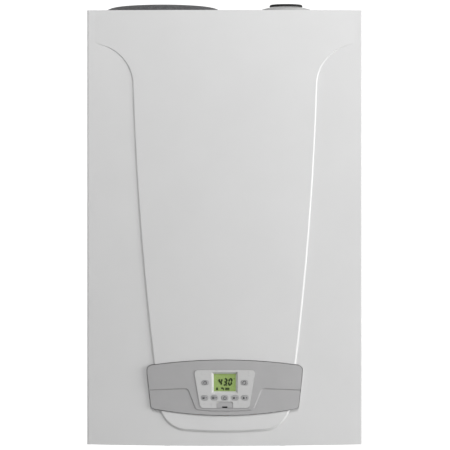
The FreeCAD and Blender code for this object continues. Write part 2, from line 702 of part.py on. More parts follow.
def plate_path(grow):
    left = [
        (-s.plate_brow_half, below(s.plate_top) + grow), Arc(s.plate_round + grow),
        (-s.plate_half - grow, below(s.plate_ear)), (-s.plate_cheek_half - grow, below(s.plate_cheek)),
        Arc(s.plate_round + grow), (-s.plate_foot_half, below(s.plate_foot) - grow),
    ]
    return left + mirrored_path(left)


plate_seat = s.plate_thick - s.case_depth
plate_back = plate_seat + s.plate_body
pocket = prism("plate_pocket", "front", plate_seat, plate_path(s.fit_gap), s.plate_thick * 2)
opening = prism("plate_opening", "front", -s.fascia_back, plate_path(-s.plate_ledge), s.case_depth)
node("control_fascia", cut("control_fascia", fascia_blank, fascia_hollow, pocket, opening))

# Keypad plate with a sloping display recess, seven button holes and the flap's bay


def rounded_path(middle, level, half_wide, half_tall, radius):
    left, right = middle - half_wide, middle + half_wide
    low, high = level - half_tall, level + half_tall
    return [(left, high - radius), (left, low + radius), Arc(radius), (left + radius, low),
            (right - radius, low), Arc(radius), (right, low + radius), (right, high - radius),
            Arc(radius), (right - radius, high), (left + radius, high), Arc(radius)]


def casting(name, low, high):
    # A box between two opposite corners with rounded upright edges.
    middle = [(formula(start) + end) / 2 for start, end in zip(low, high)]
    half_wide, half_deep = [(formula(end) - start) / 2 for start, end in zip(low[:2], high[:2])]
    path = rounded_path(middle[0], middle[1], half_wide, half_deep, s.cast_round)
    return prism(name, "plan", low[2], path, high[2] - low[2])


plate_lip = prism("plate_lip", "front", plate_seat, plate_path(formula(0)), s.plate_thick)
plate_core = prism("plate_core", "front", plate_back, plate_path(-s.plate_ledge - s.fit_gap),
                   s.plate_body)
window_left, window_right = -s.window_half_wide, s.window_half_wide
window_high, window_low = below(s.window_top), below(s.window_foot)
window = prism("window", "front", -s.case_depth,
               [(window_left, window_high), (window_left, window_low),
                (window_right, window_low), (window_right, window_high)], s.window_depth)
window.Reversed = True
bind(window, "TaperAngle", -s.window_draft)
lens_front = s.window_depth - s.case_depth
lens_left, lens_right = window_left + s.lens_margin, window_right - s.lens_margin
lens_low, lens_high = window_low + s.lens_margin, window_high - s.lens_margin
lens_bay = block("lens_bay", (lens_left - s.fit_gap, lens_front, lens_low - s.fit_gap),
                 (lens_right + s.fit_gap, plate_back, lens_high + s.fit_gap))
keys = {
    "button_upper_left": (-s.key_upper_half, s.key_upper_drop),
    "button_upper_right": (s.key_upper_half, s.key_upper_drop),
    "button_lower_1": (-s.key_outer_half, s.key_lower_drop),
    "button_lower_2": (-s.key_inner_half, s.key_lower_drop),
    "button_lower_3": (formula(0), s.key_lower_drop),
    "button_lower_4": (s.key_inner_half, s.key_lower_drop),
    "button_lower_5": (s.key_outer_half, s.key_lower_drop),
}
key_holes = []
for name, (x, drop) in keys.items():
    path = rounded_path(x, below(drop), s.key_wide / 2 + s.key_gap, s.key_tall / 2 + s.key_gap,
                        s.key_round + s.key_gap)
    key_holes.append(prism(name + "_hole", "front", plate_back, path, s.plate_body + s.plate_thick))


def flap_path(grow, turn):
    edge = s.flap_half + grow
    high = below(s.flap_top) + grow
    low = below(s.flap_foot) - grow * 4
    return [(-edge, high - turn), (-edge, low), (edge, low), (edge, high - turn), Arc(turn),
            (edge - turn, high), (turn - edge, high), Arc(turn)]


flap_axis_y = s.flap_axis_depth - s.case_depth
flap_axis_z = below(s.flap_top + s.flap_axis_drop)
flap_bay = prism("flap_bay", "front", s.flap_bay - s.case_depth, flap_path(s.flap_gap, s.flap_bay_round),
                 s.flap_bay)
pin_seat = rod("pin_seat", s.flap_pin_radius, (-s.flap_pin_half, flap_axis_y, flap_axis_z),
               s.flap_pin_half * 2, "X")
node("keypad_plate", cut("keypad_plate", fuse("plate_blank", plate_lip, plate_core), window, lens_bay,
                         flap_bay, pin_seat, *key_holes))
node("flap_pin", rod("flap_pin", s.flap_pin_radius, (-s.flap_pin_half, flap_axis_y, flap_axis_z),
                     s.flap_pin_half * 2, "X"))
flap_blank = prism("flap_blank", "front", s.flap_thick - s.case_depth,
                   flap_path(formula(0), s.flap_round),
                   s.flap_thick)
finger = block("finger_notch", (-s.finger_half, -s.case_depth, below(s.flap_foot)),
               (s.finger_half, s.flap_thick - s.case_depth, below(s.flap_foot - s.finger_tall)))
flap_bore = rod("flap_bore", s.flap_pin_radius + s.flap_pin_play,
                (-s.flap_pin_half, flap_axis_y, flap_axis_z),
                s.flap_pin_half * 2, "X")
node("service_flap", cut("service_flap", flap_blank, finger, flap_bore))

# Buttons: caps with a flange behind the plate that keeps them in
key_front = -s.case_depth - s.key_proud + s.key_bevel
for name, (x, drop) in keys.items():
    outline = rounded_path(x, below(drop), s.key_wide / 2, s.key_tall / 2, s.key_round)
    cap = prism(name + "_cap", "front", plate_back, outline, plate_back - key_front)
    bevel = prism(name + "_bevel", "front", key_front, outline, s.key_bevel)
    bind(bevel, "TaperAngle", -s.bevel_angle)
    flange = prism(name + "_flange", "front", plate_back + s.key_flange_thick,
                   rounded_path(x, below(drop), s.key_wide / 2 + s.key_flange,
                                s.key_tall / 2 + s.key_flange, s.key_round), s.key_flange_thick)
    node(name, fuse(name, cap, bevel, flange))

# Display window, display and control board behind the plate
node("display_lens", block("display_lens", (lens_left, lens_front, lens_low),
                           (lens_right, lens_front + s.lens_thick, lens_high)))
panel_front = lens_front + s.lens_thick
panel_back = panel_front + s.panel_thick
node("display_panel", block("display_panel", (lens_left, panel_front, lens_low),
                            (lens_right, panel_back, lens_high)))
board_high, board_low = below(s.board_top), below(s.board_foot)
board_pieces = [block("board_sheet", (-s.board_half_wide, panel_back, board_low),
                      (s.board_half_wide, panel_back + s.board_thick, board_high))]
switch_top = plate_back + s.key_flange_thick + s.switch_gap
for name, (x, drop) in keys.items():
    board_pieces.append(rod(name + "_switch", s.switch_radius, (x, switch_top, below(drop)),
                            panel_back - switch_top, "Y"))
node("control_board", fuse("control_board", *board_pieces))

# Control box behind the fascia, with four posts for the board
box_front = -s.fascia_back
box_back = box_front + s.box_depth
box_shell = cut("box_shell", prism("box_prism", "front", box_back, fascia_path(-s.box_inset),
                                   s.box_depth),
                prism("box_hollow", "front", box_back - s.box_wall,
                      fascia_path(-s.box_inset - s.box_wall),
                      s.box_depth))
posts = []
for side, sign in (("left", -1), ("right", 1)):
    for level, z in (("high", board_high - s.post_radius * 2), ("low", board_low + s.post_radius * 2)):
        posts.append(rod("post_%s_%s" % (side, level), s.post_radius,
                         (s.post_half * sign, box_back - s.box_wall, z),
                         (box_back - s.box_wall) - (panel_back + s.board_thick), "-Y"))
node("control_box", fuse("control_box", box_shell, *posts))

# Control brackets: flat arms from the side panels to the back of the control box


def bracket_plan(inner, front, thick):
    # A flat arm, a leg back past the side panel's lip, and a foot on the panel itself.
    foot_front = larger(jog + s.cover_gap, front + thick)
    foot_back = foot_front + s.arm_foot
    leg = lip_in - thick
    return [(inner, front), (inner, front + thick), (leg, front + thick), (leg, foot_back),
            (half - s.steel, foot_back), (half - s.steel, foot_front), (lip_in, foot_front),
            (lip_in, front)]


arm_low = below(s.arm_drop)
for side, sign in (("left", -1), ("right", 1)):
    path = [(x * sign, y) for x, y in bracket_plan(s.ear_half - s.arm_tab, box_back, s.arm_thick)]
    node(side + "_control_bracket", prism(side + "_control_bracket", "plan", arm_low, path, s.arm_high))

# Storage cylinder with dished ends, its jacket and the domed cap that shows above the casing
tank_high = top + s.dome_rise - s.jacket_floor - s.tank_top_drop
tank_foot = -s.tank_low


def tank_shape(name, radius, low, high):
    dish = Arc(bow_radius(radius, s.tank_dish))
    return spin(name, "front", tank_y,
                [(tank_x, low), dish, (tank_x + radius, low + s.tank_dish),
                 (tank_x + radius, high - s.tank_dish), dish, (tank_x, high)],
                (tank_x, tank_y, 0), V(0, 0, 1))


tank_stubs = []
tank_bores = []
for name, (x, y) in ports.items():
    stub_foot = tank_foot - s.tank_stub_long
    tank_stubs.append(rod(name + "_stub", s.tank_stub_radius, (x, y, stub_foot),
                          s.tank_stub_long + s.tank_dish))
    tank_bores.append(rod(name + "_stub_bore", s.pipe_radius + s.fit_gap, (x, y, stub_foot),
                          s.tank_stub_long + s.tank_dish * 2))
node("storage_tank", cut("storage_tank",
                         fuse("tank_blank", tank_shape("tank_out", s.tank_radius, tank_foot, tank_high),
                              *tank_stubs),
                         tank_shape("tank_in", s.tank_radius - s.tank_steel, tank_foot + s.tank_steel,
                                    tank_high - s.tank_steel), *tank_bores))
jacket_foot = tank_foot - s.jacket_floor
jacket_top = top - s.jacket_split_drop
tank_room = tank_shape("tank_room", s.tank_radius + s.jacket_gap, tank_foot, tank_high + s.jacket_gap)
jacket_holes = []
for name, (x, y) in ports.items():
    jacket_holes.append(rod(name + "_jacket_hole", s.tank_stub_radius + s.fit_gap, (x, y, jacket_foot),
                            s.jacket_floor + s.tank_dish))
node("insulation_jacket", cut("insulation_jacket",
                              rod("jacket_wall", s.jacket_radius, (tank_x, tank_y, jacket_foot),
                                  jacket_top - jacket_foot), tank_room, *jacket_holes))
dome_top = top + s.dome_rise
dome_side = top - s.dome_rim
shoulder_z = dome_top - s.dome_shoulder
dome_room = tank_shape("dome_room", s.tank_radius + s.jacket_gap, tank_foot, tank_high + s.jacket_gap)
dome_blank = spin("dome_blank", "front", tank_y,
                  [(tank_x, jacket_top), (tank_x + s.jacket_radius, jacket_top),
                   (tank_x + s.jacket_radius, dome_side), Arc(s.dome_knuckle),
                   (tank_x + s.dome_shoulder_radius, shoulder_z),
                   Arc(bow_radius(s.dome_shoulder_radius, s.dome_shoulder)), (tank_x, dome_top)],
                  (tank_x, tank_y, 0), V(0, 0, 1))
node("insulation_cap", cut("insulation_cap", dome_blank, dome_room))

# Saddle that carries the jacket on the rear frame
saddle_back = -s.frame_depth
saddle_z = below(s.saddle_drop)
saddle_block = block("saddle_block", (tank_x - s.saddle_half, tank_y, saddle_z),
                     (tank_x + s.saddle_half, saddle_back, saddle_z + s.saddle_tall))
saddle_round = rod("saddle_round", s.jacket_radius, (tank_x, tank_y, saddle_z), s.saddle_tall)
node("cylinder_saddle", cut("cylinder_saddle", saddle_block, saddle_round))

# Flue socket on the top panel, its seal, and the duct down to the exchanger
socket_top = top + s.socket_rise
land_top = top + s.socket_land
seal_low = land_top
spigot_foot = top - s.spigot_long
bore = s.flue_bore
socket_path = [
    (flue_x + bore, spigot_foot), (flue_x + s.flue_radius - s.flue_wall - s.spigot_gap, spigot_foot),
    (flue_x + s.flue_radius - s.flue_wall - s.spigot_gap, top), (flue_x + s.socket_flange, top),
    (flue_x + s.socket_flange, top + s.socket_flange_thick),
    (flue_x + s.socket_radius, top + s.socket_flange_thick), (flue_x + s.socket_radius, socket_top),
    (flue_x + s.seal_radius, land_top), (flue_x + bore, land_top),
]
node("flue_socket", spin("flue_socket", "front", flue_y, socket_path, (flue_x, flue_y, 0), V(0, 0, 1)))
seal_high = seal_low + s.seal_high
seal_path = [
    (flue_x + bore, seal_low), (flue_x + s.seal_foot, seal_low),
    (flue_x + s.seal_radius, seal_low + s.seal_high / 3),
    (flue_x + s.seal_radius, seal_high - s.seal_high / 3), (flue_x + s.seal_foot, seal_high),
    (flue_x + bore, seal_high),
]
node("flue_seal", spin("flue_seal", "front", flue_y, seal_path, (flue_x, flue_y, 0), V(0, 0, 1)))
drum_z = below(s.drum_drop)
drum_high = drum_z + s.drum_radius
collar_high = below(s.collar_top)
duct_foot = collar_high - s.spigot_long
node("flue_duct", tube("flue_duct", s.flue_radius, s.flue_radius - s.flue_wall,
                       (flue_x, flue_y, duct_foot),
                       top - duct_foot))

# Heat exchanger: a drum lying front to back, with a flue collar, a foot plate and pipe stubs
drum_back, drum_front = -s.drum_back, -s.drum_front
drum_path = [
    (flue_x, drum_back), (flue_x, -s.hearth_back), (flue_x + s.hearth_radius, -s.hearth_back),
    (flue_x + s.hearth_radius, drum_front), (flue_x + s.drum_rim, drum_front),
    (flue_x + s.drum_rim, drum_front + s.drum_rim_thick),
    (flue_x + s.drum_radius, drum_front + s.drum_rim_thick),
    (flue_x + s.drum_radius, drum_back),
]
drum = spin("drum", "plan", drum_z, drum_path, (flue_x, 0, drum_z), V(0, 1, 0))
collar_radius = s.flue_radius + s.fit_gap + s.collar_wall
collar = rod("collar", collar_radius, (flue_x, flue_y, drum_z + s.hearth_radius + s.rod_radius),
             collar_high - drum_z - s.hearth_radius - s.rod_radius)
carrier = block("carrier", (flue_x - s.foot_plate_half, drum_back, drum_z - s.foot_plate_half),
                (flue_x + s.foot_plate_half, saddle_back,
                 drum_z - s.foot_plate_half + s.foot_plate_thick))
carrier_high = block("carrier_high", (flue_x - s.foot_plate_half, drum_back, drum_z + s.foot_plate_half),
                     (flue_x + s.foot_plate_half, saddle_back,
                      drum_z + s.foot_plate_half + s.foot_plate_thick))
stub_outer = s.pipe_radius + s.tail_wall
flow_stub = rod("flow_stub", stub_outer, (s.flow_stub_x, drum_back, drum_z), s.socket_deep, "Y")
return_stub_z = drum_z - s.drum_radius - s.socket_deep
return_stub = rod("return_stub", stub_outer, (s.return_x, -s.return_y, return_stub_z), s.socket_deep * 3)
drain_stub_z = below(s.drain_stub_drop)
drain_stub = rod("drain_stub", s.drain_radius + s.tail_wall, (s.drain_x, -s.drain_y, drain_stub_z),
                 drum_z - s.drum_radius / 2 - drain_stub_z)
drum_cuts = [
    rod("collar_bore", s.flue_radius + s.fit_gap, (flue_x, flue_y, duct_foot), s.spigot_long),
    rod("flow_socket", s.pipe_radius + s.fit_gap, (s.flow_stub_x, drum_back, drum_z), s.socket_deep, "Y"),
    rod("return_socket", s.pipe_radius + s.fit_gap, (s.return_x, -s.return_y, return_stub_z),
        s.socket_deep),
    rod("drain_socket", s.drain_radius + s.fit_gap, (s.drain_x, -s.drain_y, drain_stub_z), s.socket_deep),
]
node("heat_exchanger", cut("heat_exchanger",
                           fuse("drum_blank", drum, collar, carrier, carrier_high, flow_stub,
                                                  return_stub, drain_stub), *drum_cuts))

# Burner door: a flanged casting with an elbow that leads the mixture from the fan into the burner
door_front = drum_front - s.door_thick
elbow_front = door_front - s.elbow_deep
elbow_high, elbow_low = below(s.elbow_top), below(s.elbow_foot)
elbow_left, elbow_right = flue_x - s.elbow_half, flue_x + s.elbow_half
door_disc = rod("door_disc", s.door_radius, (flue_x, door_front, drum_z), s.door_thick, "Y")
elbow = block("elbow", (elbow_left, elbow_front, elbow_low), (elbow_right, door_front, elbow_high))
elbow_inside = block("elbow_inside", (elbow_left + s.elbow_wall, elbow_front + s.elbow_wall, elbow_low),
                     (elbow_right - s.elbow_wall, door_front - s.elbow_wall, elbow_high - s.elbow_wall))
door_cuts = [elbow_inside]
burner_seat = rod("burner_seat", s.burner_radius + s.fit_gap, (flue_x, door_front - s.elbow_wall, drum_z),
                  s.door_thick + s.elbow_wall, "Y")
door_cuts.append(burner_seat)
electrode_x = {"spark": flue_x - s.electrode_half, "flame": flue_x + s.electrode_half}
for name, x in electrode_x.items():
    door_cuts.append(rod(name + "_seat", s.insulator_radius + s.electrode_play, (x, door_front, drum_z),
                         s.door_thick, "Y"))
door_nuts = []
for step in range(6):
    angle = math.radians(30 + 60 * step)
    x = flue_x + s.door_bolt_circle * math.cos(angle)
    z = drum_z + s.door_bolt_circle * math.sin(angle)
    door_nuts.append(nut("door_nut_%d" % step, s.door_bolt, (x, door_front - s.door_bolt, z), s.door_bolt,
                         "Y"))
node("burner_door", cut("burner_door", fuse("door_blank", door_disc, elbow, *door_nuts), *door_cuts))
burner_out = rod("burner_out", s.burner_radius, (flue_x, door_front, drum_z), s.burner_long, "Y")
burner_in = rod("burner_in", s.burner_radius - s.burner_wall, (flue_x, door_front, drum_z),
                s.burner_long - s.burner_wall, "Y")
node("burner_tube", cut("burner_tube", burner_out, burner_in))
electrodes = []
for name, x in electrode_x.items():
    electrodes.append(fuse(name + "_electrode",
                           rod(name + "_insulator", s.insulator_radius,
                               (x, door_front - s.insulator_out, drum_z),
                               s.insulator_out + s.door_thick, "Y"),
                           rod(name + "_wire", s.rod_radius, (x, drum_front, drum_z), s.rod_long, "Y")))
electrode_group = doc.addObject("Part::Compound", "electrodes")
electrode_group.Links = electrodes
node("electrodes", electrode_group)

# Fan: a round housing under the elbow, a bladed wheel on the motor's shaft, and the gas mixer in front
fan_x, fan_z = flue_x, below(s.fan_drop)
fan_front, fan_back = -s.fan_front, -s.fan_back
fan_deep = fan_back - fan_front
fan_drum = rod("fan_drum", s.fan_radius, (fan_x, fan_front, fan_z), fan_deep, "Y")
throat = block("throat", (elbow_left, fan_front, fan_z), (elbow_right, fan_back, elbow_low))
fan_room = rod("fan_room", s.fan_radius - s.fan_wall, (fan_x, fan_front + s.fan_wall, fan_z),
               fan_deep - s.fan_wall * 2, "Y")
throat_room = block("throat_room", (elbow_left + s.elbow_wall, fan_front + s.elbow_wall, fan_z),
                    (elbow_right - s.elbow_wall, fan_back - s.elbow_wall, elbow_low))
inlet = rod("inlet", s.inlet_radius, (fan_x, fan_front, fan_z), s.fan_wall, "Y")
shaft_hole = rod("shaft_hole", s.hub_radius, (fan_x, fan_back - s.fan_wall, fan_z), s.fan_wall, "Y")
node("fan_housing", cut("fan_housing", fuse("fan_blank", fan_drum, throat), fan_room, throat_room, inlet,
                        shaft_hole))
wheel_back = fan_back - s.fan_wall * 2
wheel = doc.addObject("PartDesign::Body", "fan_wheel")


def plane_of(body, role):
    return [thing for thing in body.Origin.OriginFeatures if thing.Role == role][0]


def body_sketch(body, name, role, level):
    sketch = body.newObject("Sketcher::SketchObject", name)
    sketch.AttachmentSupport = [(plane_of(body, role), "")]
    sketch.MapMode = "FlatFace"
    bind(sketch, "AttachmentOffset.Base.z", level)
    return sketch


def add_circle(sketch, radius):
    number = sketch.addGeometry(Part.Circle(V(0, 0, 0), V(0, 0, 1), radius.value), False)
    sketch.addConstraint(Sketcher.Constraint("Coincident", number, 3, -1, 1))
    rule = sketch.addConstraint(Sketcher.Constraint("Radius", number, radius.value))
    sketch.setExpression("Constraints[%d]" % rule, radius.text)


def add_pad(body, name, sketch, length):
    pad = body.newObject("PartDesign::Pad", name)
    pad.Profile = sketch
    bind(pad, "Length", length)
    body.Tip = pad
    return pad


disc_sketch = body_sketch(wheel, "wheel_disc_outline", "XZ_Plane", formula(0))
add_circle(disc_sketch, s.wheel_radius)
add_circle(disc_sketch, s.wheel_bore)
add_pad(wheel, "wheel_disc", disc_sketch, s.wheel_disc)
hub_sketch = body_sketch(wheel, "wheel_hub_outline", "XZ_Plane", formula(0))
add_circle(hub_sketch, s.hub_radius)
add_circle(hub_sketch, s.wheel_bore)
add_pad(wheel, "wheel_hub", hub_sketch, s.wheel_deep - s.blade_deep)
blade_sketch = body_sketch(wheel, "blade_outline", "XZ_Plane", formula(0))
draw(blade_sketch, [(s.wheel_radius - s.blade_deep, -s.blade_thick / 2),
                    (s.wheel_radius - s.blade_thick, -s.blade_thick / 2),
                    (s.wheel_radius - s.blade_thick, s.blade_thick / 2),
                    (s.wheel_radius - s.blade_deep, s.blade_thick / 2)])
blade = add_pad(wheel, "blade", blade_sketch, s.wheel_deep)
doc.recompute()
blades = wheel.newObject("PartDesign::PolarPattern", "blades")
blades.Originals = [blade]
blades.Axis = (plane_of(wheel, "Y_Axis"), [""])
blades.Angle = 360
blades.Occurrences = 24
wheel.Tip = blades
for axis, length in zip("xyz", (fan_x, wheel_back, fan_z)):
    bind(wheel, "Placement.Base." + axis, length)
node("fan_wheel", wheel)
fan_can = rod("fan_can", s.motor_radius, (fan_x, fan_back, fan_z), s.motor_long, "Y")
fan_shaft = rod("fan_shaft", s.shaft_radius, (fan_x, fan_back, fan_z), s.wheel_deep - s.fan_wall, "-Y")
node("fan_motor", fuse("fan_motor", fan_can, fan_shaft))
mixer_front = fan_front - s.mixer_long
mixer_body = rod("mixer_body", s.mixer_radius, (fan_x, fan_front, fan_z), s.mixer_long, "-Y")
feed_y = -s.feed_depth
feed_boss = rod("feed_boss", s.feed_radius + s.tail_wall, (fan_x, feed_y, fan_z),
                s.mixer_radius + s.socket_deep, "X")
mixer_throat = rod("mixer_throat", s.throat_radius, (fan_x, fan_front, fan_z), s.mixer_long, "-Y")
feed_bore = rod("feed_bore", s.feed_radius + s.fit_gap, (fan_x, feed_y, fan_z),
                s.mixer_radius + s.socket_deep, "X")
node("gas_mixer", cut("gas_mixer", fuse("mixer_blank", mixer_body, feed_boss), mixer_throat, feed_bore))
valve_mid_x = (s.valve_left + s.valve_right) / 2
valve_mid_y = -(s.valve_front + s.valve_back) / 2
valve_high, valve_low = below(s.valve_high), below(s.valve_low)
valve_body = casting("valve_body", (s.valve_left, -s.valve_front, valve_low),
                     (s.valve_right, -s.valve_back, valve_high))
valve_coil = rod("valve_coil", s.coil_radius, (valve_mid_x, valve_mid_y, valve_high), s.coil_high)
valve_arm = prism("valve_arm", "plan", valve_low,
                  bracket_plan(valve_mid_x, -s.valve_back - s.valve_tab, s.valve_tab),
                  valve_high - valve_low)
valve_socket = rod("valve_socket", s.pipe_radius + s.fit_gap, (valve_mid_x, valve_mid_y, valve_low),
                   s.socket_deep)
feed_seat = rod("feed_seat", s.feed_radius + s.fit_gap, (s.valve_left, feed_y, fan_z), s.socket_deep, "X")
node("gas_valve", cut("gas_valve", fuse("valve_blank", valve_body, valve_coil, valve_arm), valve_socket,
                      feed_seat))
feed_start = fan_x + s.mixer_radius
node("gas_feed_pipe", tube("gas_feed_pipe", s.feed_radius, s.feed_radius - s.burner_wall,
                           (feed_start, feed_y, fan_z),
                           s.valve_left + s.socket_deep - feed_start, "X"))

# Tails under the casing: a round end with its nut seated under the tray
nut_low = foot - s.nut_thick
tail_foot = nut_low - s.tail_out


def tail(name, high):
    # The round end of a connection, with its nut against the tray.
    x, radius = tails[name]
    return [rod(name + "_tail", radius, (x, tail_y, tail_foot), high - tail_foot),
            nut(name + "_nut", s.nut_radius, (x, tail_y, nut_low), s.nut_thick)]


def tail_bore(name):
    x, radius = tails[name]
    return rod(name + "_tail_bore", radius - s.tail_wall, (x, tail_y, tail_foot), s.tail_out)


tail_head = foot + s.nut_thick * 2
hot_pipe = pipe("hot_run", s.pipe_radius, s.bend,
                [(tails["hot"][0], tail_y, tail_head), (tails["hot"][0], tail_y, below(s.cross_drop)),
                 (*ports["hot"], below(s.cross_drop)), (*ports["hot"], tank_foot - s.socket_deep)])
node("hot_water_pipe", cut("hot_water_pipe", fuse("hot_blank", hot_pipe, *tail("hot", tail_head)),
                           tail_bore("hot")))
cold_pipe = pipe("cold_run", s.pipe_radius, s.bend,
                 [(tails["cold"][0], tail_y, tail_head), (tails["cold"][0], tail_y, below(s.cross_drop)),
                  (*ports["cold"], below(s.cross_drop)), (*ports["cold"], tank_foot - s.socket_deep)])
node("cold_water_pipe", cut("cold_water_pipe", fuse("cold_blank", cold_pipe, *tail("cold", tail_head)),
                            tail_bore("cold")))
gas_cross = below(s.gas_cross_drop)
gas_run = pipe("gas_run", s.pipe_radius, s.bend,
               [(tails["gas"][0], tail_y, tail_head), (tails["gas"][0], tail_y, gas_cross),
                (valve_mid_x, valve_mid_y, gas_cross),
                (valve_mid_x, valve_mid_y, valve_low + s.socket_deep)])
node("gas_pipe", cut("gas_pipe", fuse("gas_blank", gas_run, *tail("gas", tail_head)), tail_bore("gas")))

# Flow group with the diverter valve, over the heating flow tail
group_low, group_high = below(s.group_low), below(s.group_high)
group_left, group_right = -s.group_left, -s.group_right
group_block = casting("group_block", (group_left, -s.group_front, group_low),
                      (group_right, -s.group_back, group_high))
group_mid_y = -(s.group_front + s.group_back) / 2
flow_x = -s.flow_x
group_arm = block("group_arm", (group_left, -s.group_back, group_low),
                  (group_right, saddle_back, group_low + s.steel * 3))
group_mid_z = (group_low + group_high) / 2
flow_port_x = (group_left + group_right) / 2
flow_seat = rod("flow_seat", s.pipe_radius + s.fit_gap, (flow_port_x, -s.group_back, group_mid_z),
                s.socket_deep, "-Y")
relief_x = group_left + s.relief_knob + s.relief_radius / 2
node("flow_group", cut("flow_group", fuse("flow_blank", group_block, group_arm, *tail("flow", group_low)),
                       tail_bore("flow"), flow_seat))
diverter_x = (group_left + group_right) / 2
node("diverter_motor", rod("diverter_motor", s.diverter_radius, (diverter_x, group_mid_y, group_high),
                           below(s.diverter_high) - group_high))
relief_y = -s.group_front
relief_body = rod("relief_body", s.relief_radius, (relief_x, relief_y, group_mid_z), s.relief_long, "-Y")
relief_stem = rod("relief_stem", s.relief_stem, (relief_x, relief_y - s.relief_long, group_mid_z),
                  s.relief_stem_long, "-Y")
node("safety_valve", fuse("safety_valve", relief_body, relief_stem))
relief_face = relief_y - s.relief_long - s.knob_gap
relief_cap = rod("relief_cap", s.relief_knob, (relief_x, relief_face, group_mid_z), s.relief_knob_long,
                 "-Y")
relief_bore = rod("relief_bore", s.relief_stem + s.knob_play, (relief_x, relief_face, group_mid_z),
                  s.relief_stem_long, "-Y")
relief_flats = []
for name, sign in (("high", 1), ("low", -1)):
    near = group_mid_z + s.relief_stem * 2 * sign
    far = group_mid_z + s.relief_knob * sign
    low, high = (near, far) if sign > 0 else (far, near)
    relief_flats.append(block("relief_flat_" + name,
                              (relief_x - s.relief_knob, relief_face - s.relief_knob_long, low),
                              (relief_x + s.relief_knob, relief_face - s.relief_knob_long / 2, high)))
node("safety_valve_knob", cut("safety_valve_knob", relief_cap, relief_bore, *relief_flats))

# Pump over the heating return tail, with its motor, air vent and filling tap
pump_low, pump_high = below(s.pump_low), below(s.pump_high)
pump_front, pump_back = -s.pump_front, -s.pump_back
pump_block = casting("pump_block", (s.pump_left, pump_front, pump_low),
                     (s.pump_right, pump_back, pump_high))
pump_arm = block("pump_arm", (s.pump_left, pump_back, pump_low),
                 (s.pump_right, saddle_back, pump_low + s.steel * 3))
return_seat = rod("return_seat", s.pipe_radius + s.fit_gap,
                  (s.return_x, -s.return_y, pump_high - s.socket_deep),
                  s.socket_deep)
vessel_y = -(s.vessel_back + s.vessel_thick / 2)
vessel_seat = rod("vessel_seat", s.vessel_stub + s.fit_gap, (flue_x, vessel_y, pump_high - s.socket_deep),
                  s.socket_deep)
tap_y = -s.pump_front + s.tap_knob
tap_stem = rod("tap_stem", s.tap_stem, (s.tap_x, tap_y, foot - s.tap_knob_long / 2),
               pump_low - foot + s.tap_knob_long / 2)
node("pump_body", cut("pump_body", fuse("pump_blank", pump_block, pump_arm, tap_stem,
                                        *tail("return", pump_low)),
                      tail_bore("return"), return_seat, vessel_seat))
pump_mid_x = (s.pump_left + s.pump_right) / 2
pump_mid_z = pump_low + s.pump_motor_rise
pump_can = rod("pump_can", s.pump_motor_radius, (pump_mid_x, pump_front, pump_mid_z),
               s.pump_motor_long - s.pump_cap_long, "-Y")
pump_cap = rod("pump_cap", s.pump_motor_radius - s.pump_cap_step, (pump_mid_x, pump_front, pump_mid_z),
               s.pump_motor_long, "-Y")
node("pump_motor", fuse("pump_motor", pump_can, pump_cap))
vent_x = s.pump_right - s.vent_radius
vent_y = pump_front + s.vent_radius
node("air_vent", fuse("air_vent", rod("vent_body", s.vent_radius, (vent_x, vent_y, pump_high),
                                      s.vent_high),
                      rod("vent_cap", s.vent_radius / 2, (vent_x, vent_y, pump_high + s.vent_high),
                          s.vent_cap)))
tap_high = foot - s.knob_gap
tap_cap = rod("tap_cap", s.tap_knob, (s.tap_x, tap_y, tap_high), s.tap_knob_long, "-Z")
tap_bore = rod("tap_bore", s.tap_stem + s.knob_play, (s.tap_x, tap_y, tap_high), s.tap_knob_long / 2,
               "-Z")
tap_grips = []
for step in range(8):
    angle = math.radians(45 * step)
    x = s.tap_x + s.tap_knob * math.cos(angle)
    y = tap_y + s.tap_knob * math.sin(angle)
    tap_grips.append(rod("tap_grip_%d" % step, s.tap_knob / 6, (x, y, tap_high), s.tap_knob_long, "-Z"))
node("filling_tap_knob", cut("filling_tap_knob", tap_cap, tap_bore, *tap_grips))

# Expansion vessel on the rear frame and its pipe down to the pump
vessel_z = below(s.vessel_drop)
vessel_back = -s.vessel_back
vessel_front = vessel_back - s.vessel_thick
vessel_bow = s.vessel_thick / 4


def vessel_shape(name, radius, rim, front, back):
    # A flat round can with bowed ends and a crimped rim.
    path = [
        (flue_x, front), Arc(bow_radius(radius, vessel_bow)), (flue_x + radius, front + vessel_bow),
        (flue_x + radius, vessel_y - s.vessel_rim_thick / 2),
        (flue_x + rim, vessel_y - s.vessel_rim_thick / 2),
        (flue_x + rim, vessel_y + s.vessel_rim_thick / 2),
        (flue_x + radius, vessel_y + s.vessel_rim_thick / 2),
        (flue_x + radius, back - vessel_bow), Arc(bow_radius(radius, vessel_bow)), (flue_x, back),
    ]
    return spin(name, "plan", vessel_z, path, (flue_x, 0, vessel_z), V(0, 1, 0))


vessel_can = vessel_shape("vessel_can", s.vessel_radius, s.vessel_rim, vessel_front, vessel_back)
vessel_room = rod("vessel_room", s.vessel_radius - s.vessel_steel,
                  (flue_x, vessel_front + vessel_bow, vessel_z),
                  s.vessel_thick - vessel_bow * 2, "Y")
vessel_pad = rod("vessel_pad", s.vessel_radius / 2, (flue_x, vessel_back - vessel_bow, vessel_z),
                 saddle_back - vessel_back + vessel_bow, "Y")
vessel_foot = vessel_z - s.vessel_rim - s.vessel_stub_long
vessel_stub = rod("vessel_stub", s.vessel_stub + s.tail_wall, (flue_x, vessel_y, vessel_foot),
                  s.vessel_stub_long * 2)
vessel_port = rod("vessel_port", s.vessel_stub + s.fit_gap, (flue_x, vessel_y, vessel_foot),
                  s.socket_deep)
vessel_way = rod("vessel_way", s.vessel_stub - s.tail_wall, (flue_x, vessel_y, vessel_foot),
                 s.vessel_stub_long * 2)
